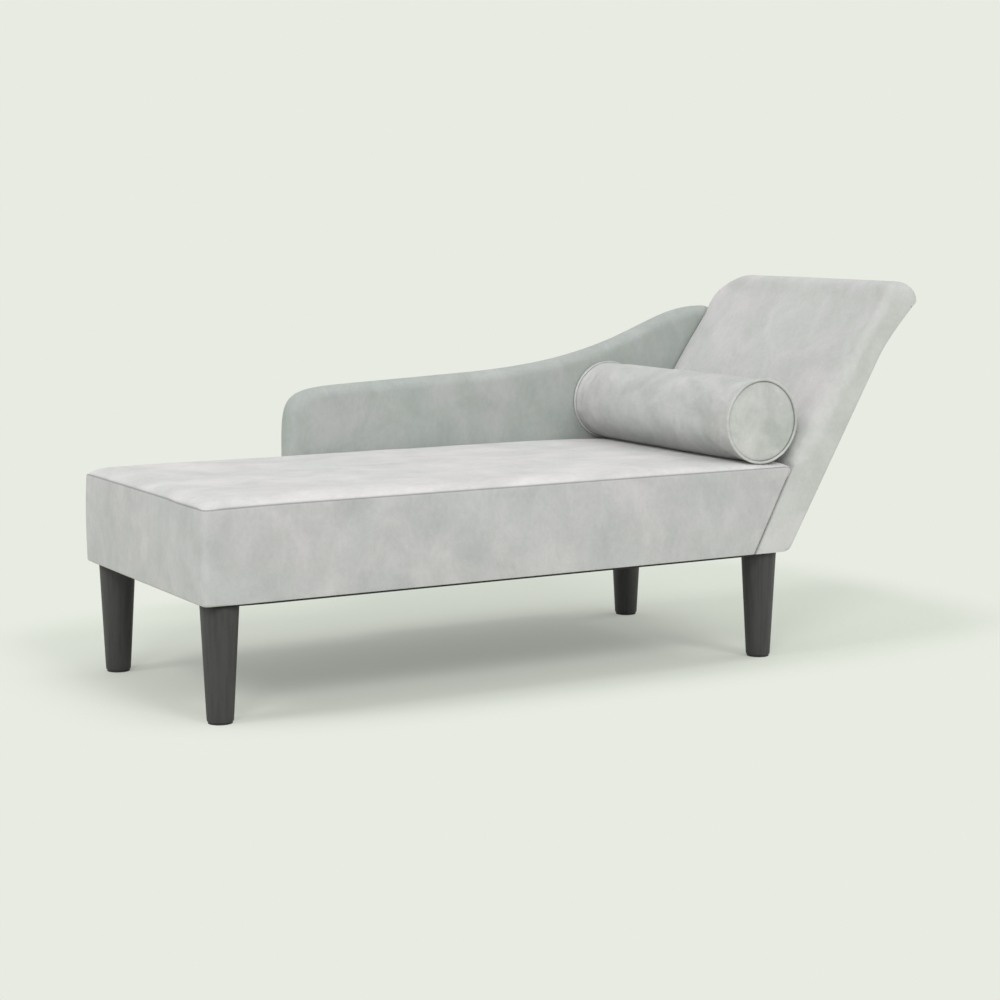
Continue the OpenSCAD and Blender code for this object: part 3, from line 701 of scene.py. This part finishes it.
def topMesh():
    s = seatTopShape
    inside, roll, headRun = s["seamDepth"], s["roll"], s["headRun"]
    low = Vector((footX + inside, frontY + inside))
    high = Vector((headX - inside, rearY - inside))
    xs = [low.x + d for d in roundSteps(roll, 12)]
    xs += evenSteps(low.x + roll, high.x - headRun, s["step"])[1:]
    xs += [high.x - d for d in reversed(roundSteps(headRun, 10))][1:]
    ys = roundedSteps(roll, roll, 12, low.y, high.y, s["step"])
    corner = seatShape["cornerRadius"] - inside

    def placeOf(column, row):
        x, y = xs[column], ys[row]
        side = min(y - low.y, high.y - y)
        fromFoot = x - low.x
        x += rollIn(corner, side) * (1 - fromFoot / (high.x - low.x))
        lift = rise(fromFoot, roll) * rise(side, roll) * max(rise(high.x - x, s["fall"]), s["headLift"])
        pucker = s["pucker"] * noise.noise(Vector((x, y, 0)) * s["puckerPitch"] + up * 4)
        pucker *= math.exp(-min(fromFoot, side) / s["puckerRun"])
        swell = s["swell"] * noise.noise(Vector((x, y, 0)) * s["swellPitch"] + up)
        swell *= rise(side, s["swellRun"]) * rise(fromFoot, s["swellRun"])
        z = seamZ - s["seamDip"] + (s["crown"] + s["seamDip"]) * lift + pucker * lift + swell
        place = Vector((x, y, z))
        place.z -= seamSag(place) * (1 - lift)
        radius = s["headCorner"] + s["crownDrop"] * s["crown"] * min(lift, s["headLift"])
        place.z -= headDrop(place, radius)
        return place

    bm = gridOn(len(xs), len(ys), placeOf)
    made = bmesh.ops.extrude_edge_only(bm, edges=boundary(bm))["geom"]
    for vert in [g for g in made if isinstance(g, bmesh.types.BMVert)]:
        vert.co.z = min(vert.co.z, seamZ) - s["skirt"]
    closeUp(bm)
    return bm


def topPaintedShade(place):
    # painted shade along the seam, round the rounded corners too
    fromFoot, side = place.x - footX, min(place.y - frontY, rearY - place.y)
    corner = seatShape["cornerRadius"]
    if fromFoot < corner and side < corner:
        side = corner - math.hypot(corner - fromFoot, corner - side)
    return softStep(min(fromFoot, side) - seatTopShape["seamDepth"], *seatTopShape["seamShade"])


finishPiece(
    "seatTop", topMesh(), "velvet_seat", ["seat_top_cover", "seat_foam"], paintedShade=topPaintedShade)


# Back: one padded form that leans and flares

print("back")


def leaning(lean, run):
    return Vector((math.sin(lean), math.cos(lean))) * run


def backOutline(b):
    # in x and z, from the seat's groove up over the ridge and down the rear
    ridgeZ = b["ridgeZ"]
    tipZ = ridgeZ - b["tipDrop"]
    flareZ = tipZ - b["flareHeight"]
    tip = Vector((rearX(tipZ) + b["flare"], tipZ))
    ridge = Vector((tip.x - b["ridgeBack"], ridgeZ))
    faceTop = Vector((faceX(ridgeZ - b["ridgeRoll"]), ridgeZ - b["ridgeRoll"]))
    flareFoot = Vector((rearX(flareZ), flareZ))
    footTop, pullZ = underZ + b["footRound"], underZ + b["footPull"]
    rollUp, rollOn = b["rollPull"]
    crestOn, crestUp = b["crestPull"]
    flareDown, flareUp = b["flarePull"]

    seam = [Vector((seamX(z), z)) for z in evenSteps(underZ, seamZ, b["seamStep"])]
    face = [Vector((faceX(z), z)) for z in evenSteps(seamZ, faceTop.y, b["step"])][1:]
    roll = curve(
        faceTop, faceTop + leaning(b["faceLean"], rollUp), ridge - Vector((rollOn, 0)), ridge, 10)[1:]
    crest = curve(ridge, ridge + Vector((crestOn, 0)), tip + Vector((0, crestUp)), tip, 12)[1:]
    flare = curve(
        tip, tip - leaning(b["flareLean"], flareDown * b["flareHeight"]),
        flareFoot + leaning(b["rearLean"], flareUp * b["flareHeight"]), flareFoot, 18)[1:]
    rear = [Vector((rearX(z), z)) for z in evenSteps(flareZ, footTop, b["seamStep"])][1:]
    foot = curve(
        Vector((rearX(footTop), footTop)), Vector((rearX(pullZ), pullZ)),
        Vector((rearX(underZ), underZ)), Vector((rearX(underZ) - b["footTurn"], underZ)), 5)[1:]
    return seam + face + roll + crest + flare + rear + foot, flareZ, tip, ridge


def backMesh():
    b = backShape
    line, flareZ, tip, ridge = backOutline(b)
    faceTopZ = b["ridgeZ"] - b["ridgeRoll"]
    onFace = [k for k, p in enumerate(line) if seamZ < p.y < faceTopZ and abs(p.x - faceX(p.y)) < 0.1 * mm]
    cornerTopZ = flareZ + b["cornerShare"] * b["flareHeight"]

    def frontAt(z):
        return seamX(z) if z < seamZ else faceX(z)

    def edgeAt(point):
        # how round the edge to the side is: crisp at the seat, soft above it, tighter behind
        x, z = point
        if x < (frontAt(z) + rearX(z)) / 2:
            soft = b["lowEdge"] + (b["faceEdge"] - b["lowEdge"]) * softStep(z - seamZ, *b["edgeTightens"])
            return b["seamEdge"] + (soft - b["seamEdge"]) * softStep(z - seamZ, *b["edgeOpens"])
        high = softStep((tip.x - x) / b["ridgeBack"] - (ridge.y - z) / b["ridgeTurn"], 0, 1)
        return b["rearEdge"] + (b["faceEdge"] - b["rearEdge"]) * high

    def leanAt(point):
        x, z = point
        return b["faceLean"] + (b["rearLean"] - b["faceLean"]) * softStep(x, frontAt(z), rearX(z))

    def lineAt(y):
        side = min(y - frontY, rearY - y)
        moved = insetLine(line, [rollIn(edgeAt(p), side) for p in line])
        for k in onFace:
            z = line[k].y
            swell = b["faceSwell"] * softStep(z, seamZ, seamZ + b["swellUp"])
            swell *= softStep(z, faceTopZ, faceTopZ - b["swellDown"]) * softStep(side, *b["swellIn"])
            moved[k] += Vector((-math.cos(b["faceLean"]), math.sin(b["faceLean"]))) * swell
        # the top's two rounded corners, which slide down along the lean
        drop = rollIn(b["cornerFront"], y - frontY) + rollIn(b["cornerRear"], rearY - y)
        cornerFootZ = flareZ - b["early"] * max(0.0, drop - b["earlyPast"])
        return [p - leaning(leanAt(p), drop * softStep(p.y, cornerFootZ, cornerTopZ)) for p in moved]

    places = roundedSteps(b["cornerFront"], b["cornerRear"], 12, frontY, rearY, b["step"])
    bm, sides = wrap(lineAt, places)
    crownSides(bm, sides, b["dice"], b["sideCrown"], b["crownRun"])

    def share(place):
        onSide = place.y < frontY + mm or place.y > rearY - mm
        return offFloor(place, b["stillFoot"]) * (b["sideDent"] if onSide else 1.0)

    soften(bm, b["dentSize"], b["dent"], 5.0, share)
    return bm


def backPaintedShade(place):
    # painted shade in the groove where the back meets the seat
    b = backShape
    if place.z > seamZ + b["grooveReach"]:
        return 0.0
    return b["grooveShadeStrength"] * softStep(place.x - seamX(min(place.z, seamZ)), *b["grooveShade"])


finishPiece(
    "backCover", backMesh(), "velvet_back", ["back_cover", "back_side_front", "back_side_rear"],
    paintedShade=backPaintedShade)


# Rear panel: a padded board that sweeps up to the back

panelShape = {
    "start": 0.411, "lowHeight": 0.304, "highHeight": 0.437, "shoulderLength": 0.166,
    "shoulderHeight": 0.108, "shoulderPull": 0.92, "rise": math.radians(2.4), "straight": 0.223,
    "sweepPull": 0.412, "sweepEndPull": 0.150, "sweepEnd": 4 * mm, "setback": 6 * mm,
    "headRound": 48 * mm, "headPull": 21 * mm, "edge": 22 * mm, "crown": 1.5 * mm,
    "crownRun": 30 * mm, "dent": 0.9 * mm, "dentSize": 160 * mm, "stillFoot": 50 * mm,
    "endStep": 20 * mm, "step": 6 * mm, "dice": 14 * mm,
}


def panelOutline(p):
    # in x and z, from the foot end over the shoulder and the sweep to the back
    startX = footX + p["start"]
    lowZ = underZ + p["lowHeight"]
    highZ = underZ + p["highHeight"]
    setback = p["setback"] / math.cos(backShape["rearLean"])
    head = Vector((rearX(highZ) - setback, highZ))
    down = leaning(backShape["rearLean"], 1)
    shoulder = Vector((startX + p["shoulderLength"], lowZ))
    shoulderFoot = Vector((startX, lowZ - p["shoulderHeight"]))
    way = Vector((math.cos(p["rise"]), math.sin(p["rise"])))
    sweepFoot = shoulder + p["straight"] * way
    sweepTop = head - Vector((p["headRound"] + p["sweepEnd"], 0))
    turn, turned = head - Vector((p["headRound"], 0)), head - down * p["headRound"]
    side = [Vector((startX, z)) for z in evenSteps(underZ, shoulderFoot.y, p["endStep"])]
    arc = curve(
        shoulderFoot, shoulderFoot + Vector((0, p["shoulderPull"] * p["shoulderHeight"])),
        shoulder - way * (p["shoulderPull"] * p["shoulderLength"]), shoulder, 26)[1:]
    flat = [shoulder + (sweepFoot - shoulder) * k / 16 for k in range(1, 17)]
    sweep = curve(
        sweepFoot, sweepFoot + p["sweepPull"] * way,
        sweepTop - Vector((p["sweepEndPull"], 0)), sweepTop, 48)[1:]
    corner = curve(turn, turn + Vector((p["headPull"], 0)), turned + down * p["headPull"], turned, 10)
    headEnd = [Vector((rearX(z) - setback, z)) for z in evenSteps(corner[-1].y, underZ, p["endStep"])][1:]
    return side + arc + flat + sweep + corner + headEnd


def panelMesh():
    p = panelShape
    line = panelOutline(p)
    low, high = panelLow.y, panelHigh.y

    def lineAt(y):
        depth = rollIn(p["edge"], min(y - low, high - y))
        return insetLine(line, [depth] * len(line))

    places = roundedSteps(p["edge"], p["edge"], 9, low, high, p["step"])
    bm, sides = wrap(lineAt, places)
    crownSides(bm, sides, p["dice"], p["crown"], p["crownRun"])
    soften(bm, p["dentSize"], p["dent"], 8.0, lambda place: offFloor(place, p["stillFoot"]))
    return bm


print("rear panel")
finishPiece(
    "rearPanel", panelMesh(), "velvet_panel",
    ["panel_cover", "panel_face_inner", "panel_face_outer"])


# Bolster: a stuffed roll with piped ends

print("bolster")
bolsterLow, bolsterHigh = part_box("bolster_cover")
frontPipeLow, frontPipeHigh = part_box("bolster_piping_front")
bolsterX = (bolsterLow.x + bolsterHigh.x) / 2
bolsterZ = (bolsterLow.z + bolsterHigh.z) / 2
bolsterShape = {
    "radius": (bolsterHigh.z - bolsterLow.z) / 2, "pipeRadius": (frontPipeHigh.z - frontPipeLow.z) / 2,
    "drawIn": 0.5 * mm, "tuck": 0.6 * mm, "tuckRun": 2.5 * mm, "endRun": 14 * mm, "step": 6 * mm,
    "slack": 0.7 * mm, "cap": 4 * mm, "heldEnd": 5 * mm, "gather": 1.1 * mm, "gatherRun": 24 * mm,
    "gatherStart": 3 * mm, "dent": 1.0 * mm, "dentSize": 90 * mm, "zipAngle": math.radians(30),
    "zipInset": 60 * mm, "zipAcross": (8 * mm, 3 * mm), "zipEnd": 6 * mm, "zipDepth": 1.6 * mm,
    "nearShift": 4 * mm, "sink": 1.5 * mm, "wide": 1.008, "clothTurns": 96, "turns": 144,
    "coarsePucker": 5.5, "finePucker": 11, "coarseShare": 0.6, "flatWithin": 0.9,
}
bolsterEndShape = {
    "setIn": 3.2 * mm, "tuck": 3 * mm, "dome": 7 * mm, "domePower": 0.8, "gather": 1.6 * mm,
    "gatherRun": 12 * mm, "dent": 0.9 * mm, "dentSize": 50 * mm, "pipeWave": 0.35 * mm,
    "pipeWaveSize": 12 * mm, "turns": 128, "pipeTurns": 160,
}
# strengths and reaches of the painted shade on the bolster: the rim keys for the seams beside the end pieces,
# piping at the roll's ends, below over the roll's underside
bolsterShade = {
    "rimFrom": 7 * mm, "rimTo": 4.5 * mm, "rimLeast": 0.05, "rimMiddle": 0.16, "rimSwing": 0.28,
    "rimAngle": math.radians(70), "piping": 0.25, "pipingRun": 1.5 * mm, "below": 0.72,
}


def bolsterSpun(profile, turns):
    # a profile of (radius, y) points turned round the bolster's axis
    line = [(bolsterX + radius, y, bolsterZ) for radius, y in profile]
    return spun(line, (bolsterX, 0, bolsterZ), (0, 1, 0), turns)


def angleOf(place):
    return math.atan2(place.z - bolsterZ, place.x - bolsterX)


def puckerAt(angle, seed):
    # uneven gathers round a seam, from a coarse and a fine wave
    s = bolsterShape
    turn = Vector((math.cos(angle), math.sin(angle), 0))
    coarse = noise.noise(turn * s["coarsePucker"] + up * seed)
    fine = noise.noise(turn * s["finePucker"] + up * (seed + 9))
    return coarse * s["coarseShare"] + fine * (1 - s["coarseShare"])


def fromEnds(y):
    return min(y - bolsterLow.y, bolsterHigh.y - y)


def awayFromAxis(place):
    return Vector((place.x - bolsterX, 0, place.z - bolsterZ))


def rollMesh():
    s = bolsterShape
    start, end = bolsterLow.y, bolsterHigh.y
    places = roundedSteps(s["endRun"], s["endRun"], 8, start, end, s["step"])

    def profileOf(slack):
        def radiusAt(y):
            share = abs(2 * (y - start) / (end - start) - 1)
            tuck = s["tuck"] * math.exp(-fromEnds(y) / s["tuckRun"])
            return s["radius"] - slack - s["drawIn"] * share ** 6 - tuck

        profile = [(0, start)] + [(radiusAt(start) * k / 4, start) for k in range(1, 4)]
        profile += [(radiusAt(y), y) for y in places]
        return profile + [(radiusAt(end) * k / 4, end) for k in range(3, 0, -1)] + [(0, end)]

    def held(place):
        return fromEnds(place.y) < s["heldEnd"]

    moveAt = clothSwell(bolsterSpun(profileOf(s["slack"]), s["clothTurns"]), s["cap"], held)
    bm = bolsterSpun(profileOf(s["slack"]), s["turns"])
    for vert in bm.verts:
        fromEnd, outward = fromEnds(vert.co.y), awayFromAxis(vert.co)
        if outward.length < s["radius"] * s["flatWithin"]:      # the flat ends, under the end pieces
            continue
        gather = s["gather"] * puckerAt(angleOf(vert.co), 1.0 if vert.co.y < 0 else 5.0)
        gather *= math.exp(-fromEnd / s["gatherRun"]) * softStep(fromEnd, 0, s["gatherStart"])
        swell = s["dent"] * noise.noise(vert.co / s["dentSize"] + Vector((2, 2, 2)))
        vert.co = vert.co + moveAt(vert.co) + outward.normalized() * (gather + swell)
        dipOverZip(vert, fromEnd)
    return bm


def dipOverZip(vert, fromEnd):
    # the cover dips here, so that the zip's coil lies in a shallow slot
    s = bolsterShape
    turn = (angleOf(vert.co) - s["zipAngle"]) * s["radius"]
    share = softStep(abs(turn), *s["zipAcross"])
    share *= softStep(fromEnd, s["zipInset"] - s["zipEnd"], s["zipInset"])
    outward = awayFromAxis(vert.co)
    low = s["radius"] - s["zipDepth"]
    if outward.length > low:
        vert.co -= outward.normalized() * ((outward.length - low) * share)


def endMesh(outward):
    # a low dome, tucked in behind its seam; outward is -1 at the near end and 1 at the far one
    s = bolsterEndShape
    seamY = bolsterHigh.y if outward > 0 else bolsterLow.y
    rim = bolsterShape["radius"] - bolsterShape["drawIn"] - s["setIn"]
    profile = [(rim * k / 4, seamY - outward * s["tuck"]) for k in range(5)]
    for turn in evenSteps(0, math.pi / 2, math.pi / 44)[1:-1]:
        profile.append((rim * math.cos(turn), seamY + outward * s["dome"] * math.sin(turn) ** s["domePower"]))
    profile.append((0, seamY + outward * s["dome"]))
    bm = bolsterSpun(profile, s["turns"])
    for vert in bm.verts:
        if outward * (vert.co.y - seamY) <= 0:
            continue
        radius = awayFromAxis(vert.co).length
        gather = s["gather"] * puckerAt(angleOf(vert.co), 3.0 + outward)
        gather *= math.exp(-(rim - radius) / s["gatherRun"])
        swell = s["dent"] * noise.noise(vert.co / s["dentSize"] + Vector((4, 4, 4))) * (1 - radius / rim)
        vert.co.y += outward * (gather + swell)
    return bm


def pipingMesh(node):
    low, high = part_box(node)
    middle = (low.y + high.y) / 2
    thick = (high.y - low.y) / 2
    ring = bolsterShape["pipeRadius"] - thick
    profile = [
        (ring + thick * math.cos(a), middle + thick * math.sin(a))
        for a in evenSteps(0, 2 * math.pi, math.pi / 8)
    ]
    bm = bolsterSpun(profile, bolsterEndShape["pipeTurns"])
    soften(bm, bolsterEndShape["pipeWaveSize"], bolsterEndShape["pipeWave"], middle * 10)
    return bm


def lying(place):
    # the roll has settled: a touch flat, and its near end a little towards the foot
    s = bolsterShape
    near = (bolsterHigh.y - place.y) / (bolsterHigh.y - bolsterLow.y)
    return Vector((
        bolsterX + (place.x - bolsterX) * s["wide"] - s["nearShift"] * near, place.y,
        bolsterZ + (place.z - bolsterZ) / s["wide"] - s["sink"]))


def endPaintedShade(place):
    # painted shade in the seam beside the piping, darkest at the upper side towards the back
    s, radius = bolsterShade, bolsterShape["radius"]
    share = max(s["rimLeast"], s["rimMiddle"] + s["rimSwing"] * math.cos(angleOf(place) - s["rimAngle"]))
    return share * softStep(awayFromAxis(place).length, radius - s["rimFrom"], radius - s["rimTo"])


def rollPaintedShade(place):
    # painted shade: a fine line at the piping, and a broad darkening over the roll's underside
    s = bolsterShade
    below = softStep(bolsterZ - place.z, 0, bolsterShape["radius"])
    return max(s["piping"] * softStep(fromEnds(place.y), s["pipingRun"], 0), s["below"] * below)


finishPiece(
    "bolsterRoll", rollMesh(), "velvet_bolster", ["bolster_cover", "bolster_filling"], "bolster",
    paintedShade=rollPaintedShade, placed=lying)
for side, outward in (("front", -1), ("rear", 1)):
    finishPiece(
        "bolsterEnd_" + side, endMesh(outward), "velvet_bolster", ["bolster_end_" + side], "bolster",
        paintedShade=endPaintedShade, placed=lying)
    finishPiece(
        "bolsterPiping_" + side, pipingMesh("bolster_piping_" + side), "velvet_bolster",
        ["bolster_piping_" + side], "bolster", placed=lying)


# Lining under the frame, kept inside the rounded corners of the covers

liningShape = {
    "setIn": 20 * mm, "edge": 1.5 * mm, "footEdge": 8 * mm, "footRun": 95 * mm, "headEdge": 6 * mm,
    "corner": 26 * mm, "sag": 1.0 * mm,
}


def liningMesh():
    s = liningShape
    low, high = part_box("lining")
    left, panelX = footX + s["setIn"], low.x + panelShape["start"]
    straight = left + s["footRun"]
    right = rearX(underZ) - backShape["footRound"] / 2 - s["headEdge"]
    front, rear, panelRear = frontY + s["edge"], rearY - s["edge"], panelHigh.y - s["edge"]
    outline = [
        (left, frontY + s["footEdge"]), (straight, front), (seamFootX, front),
        (seamFootX, frontY + s["setIn"]), (right, frontY + s["setIn"]), (right, panelRear),
        (panelX, panelRear), (panelX, rear), (straight, rear), (left, rearY - s["footEdge"]),
    ]
    bm = bmesh.new()
    face = bm.faces.new([bm.verts.new((x, y, low.z - s["sag"])) for x, y in outline])
    made = bmesh.ops.extrude_face_region(bm, geom=[face])["geom"]
    raised = [g for g in made if isinstance(g, bmesh.types.BMVert)]
    bmesh.ops.translate(bm, verts=raised, vec=up * (high.z - low.z + s["sag"]))
    corner = [e for e in bm.edges if all((v.co.xy - Vector((right, panelRear))).length < mm for v in e.verts)]
    bmesh.ops.bevel(
        bm, geom=corner, offset=s["corner"], segments=6, profile=0.5, affect="EDGES", material=-1)
    bmesh.ops.recalc_face_normals(bm, faces=bm.faces)
    return bm


print("lining")
finishPiece("liningSheet", liningMesh(), "lining", ["lining"])


# Legs: turned and tapered, with an eased foot

print("legs")
legShape = {
    "topRadius": 33 * mm, "footRadius": 22.6 * mm, "footEase": 2.5 * mm, "topEase": 1.2 * mm,
    "rings": 12, "turns": 96,
}


def legMesh(node):
    s = legShape
    low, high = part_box(node)
    centre = Vector(((low.x + high.x) / 2, (low.y + high.y) / 2, 0))
    points = [(0, low.z)]
    points += [
        (s["footRadius"] - s["footEase"] * (1 - math.sin(a)), low.z + s["footEase"] * (1 - math.cos(a)))
        for a in evenSteps(0, math.pi / 2, math.pi / 8)
    ]
    for share in [k / s["rings"] for k in range(1, s["rings"])]:
        radius = s["footRadius"] + (s["topRadius"] - s["footRadius"]) * share
        points.append((radius, low.z + (high.z - low.z) * share))
    points += [(s["topRadius"], high.z - s["topEase"]), (s["topRadius"] - s["topEase"], high.z), (0, high.z)]
    return spun([(centre.x + radius, centre.y, z) for radius, z in points], centre, up, s["turns"])


for spot in ("foot_front", "foot_rear", "head_front", "head_rear"):
    finishPiece("leg_" + spot + "_turned", legMesh("leg_" + spot), "leg_black", ["leg_" + spot])


# Floor, light and camera

print("studio")
studio = {
    "background": colour(232, 235, 226), "floor": colour(230, 236, 224), "floorSize": 30.0,
    "fadeMiddle": (0.13, 0.21), "fadeReach": (1.0, 0.64), "fadeStart": 0.84, "fadeEnd": 1.10,
    "shadowEase": 0.30, "ambient": 0.58, "ambientColour": (1.0, 1.0, 1.0, 1.0),
}
suns = {        # the way the light falls, its spread in degrees and its strength
    "left": ((0.95, 0.03, -1.0), 18, 0.50), "leftFront": ((0.82, 0.95, -1.0), 16, 0.54),
    "front": ((-0.22, 1.15, -1.0), 18, 0.54), "right": ((-0.75, 0.0, -1.0), 18, 0.28),
}
view = {        # turn and tilt in degrees, lens and sensor in millimetres
    "place": (cadLow.x - 1.36984, -3.6354, 0.8573), "turn": 30.05, "tilt": 3.77, "lens": 79.91,
    "sensor": 36, "shift": -0.15,
}


def floorFinish():
    # keeps the shadow, and fades into the background in a rounded oblong round the object
    paint = paintNamed("paleFloor")
    spot = paint.node("ShaderNodeSeparateXYZ", {}, {0: paint.place})
    (middleX, middleY), (reachX, reachY) = studio["fadeMiddle"], studio["fadeReach"]
    wide = (Value(paint, spot.outputs[0]) - middleX) / reachX
    deep = (Value(paint, spot.outputs[1]) - middleY) / reachY
    distance = ((wide * wide) ** 2 + (deep * deep) ** 2) ** 0.25
    seen = Value(paint, paint.node("ShaderNodeLightPath").outputs["Is Camera Ray"])
    share = distance.between(studio["fadeStart"], studio["fadeEnd"])
    fade = (share * (1 - studio["shadowEase"]) + studio["shadowEase"]) * seen
    lit = paint.node("ShaderNodeBsdfDiffuse", {}, {"Color": studio["floor"]})
    flat = paint.node("ShaderNodeEmission", {}, {"Color": studio["background"], "Strength": 1.0})
    mixed = paint.node("ShaderNodeMixShader", {}, {0: fade, 1: lit.outputs[0], 2: flat.outputs[0]})
    paint.node("ShaderNodeOutputMaterial", {}, {"Surface": mixed.outputs[0]})
    return paint.owner


def makeFloor():
    bm = bmesh.new()
    bmesh.ops.create_grid(bm, x_segments=2, y_segments=2, size=studio["floorSize"] / 2)
    mesh = bpy.data.meshes.new("floor")
    bm.to_mesh(mesh)
    bm.free()
    mesh.materials.append(floorFinish())
    floor = bpy.data.objects.new("floor", mesh)
    scene.collection.objects.link(floor)


def makeWorld():
    # even light on the object, and the background where the camera or a gloss sees past it
    scene.world = bpy.data.worlds.new("studio")
    paint = Paint(scene.world)
    rays = paint.node("ShaderNodeLightPath").outputs
    seen = paint.node(
        "ShaderNodeMath", {"operation": "MAXIMUM"}, {0: rays["Is Camera Ray"], 1: rays["Is Glossy Ray"]})
    even = paint.node(
        "ShaderNodeBackground", {}, {"Color": studio["ambientColour"], "Strength": studio["ambient"]})
    shown = paint.node("ShaderNodeBackground", {}, {"Color": studio["background"]})
    mixed = paint.node(
        "ShaderNodeMixShader", {}, {0: seen.outputs[0], 1: even.outputs[0], 2: shown.outputs[0]})
    paint.node("ShaderNodeOutputWorld", {}, {"Surface": mixed.outputs[0]})


def makeSun(name, toward, spread, strength):
    lamp = bpy.data.lights.new(name, "SUN")
    lamp.angle = math.radians(spread)
    lamp.energy = strength
    holder = bpy.data.objects.new(name, lamp)
    holder.rotation_euler = Vector(toward).to_track_quat("-Z", "Y").to_euler()
    scene.collection.objects.link(holder)


def makeCamera():
    lens = bpy.data.cameras.new("camera")
    lens.lens = view["lens"]
    lens.sensor_width = view["sensor"]
    lens.shift_y = view["shift"]
    holder = bpy.data.objects.new("camera", lens)
    holder.location = view["place"]
    holder.rotation_euler = Euler((math.radians(90 - view["tilt"]), 0, math.radians(-view["turn"])))
    scene.collection.objects.link(holder)
    scene.camera = holder


makeFloor()
makeWorld()
for name, (toward, spread, strength) in suns.items():
    makeSun(name, toward, spread, strength)
makeCamera()
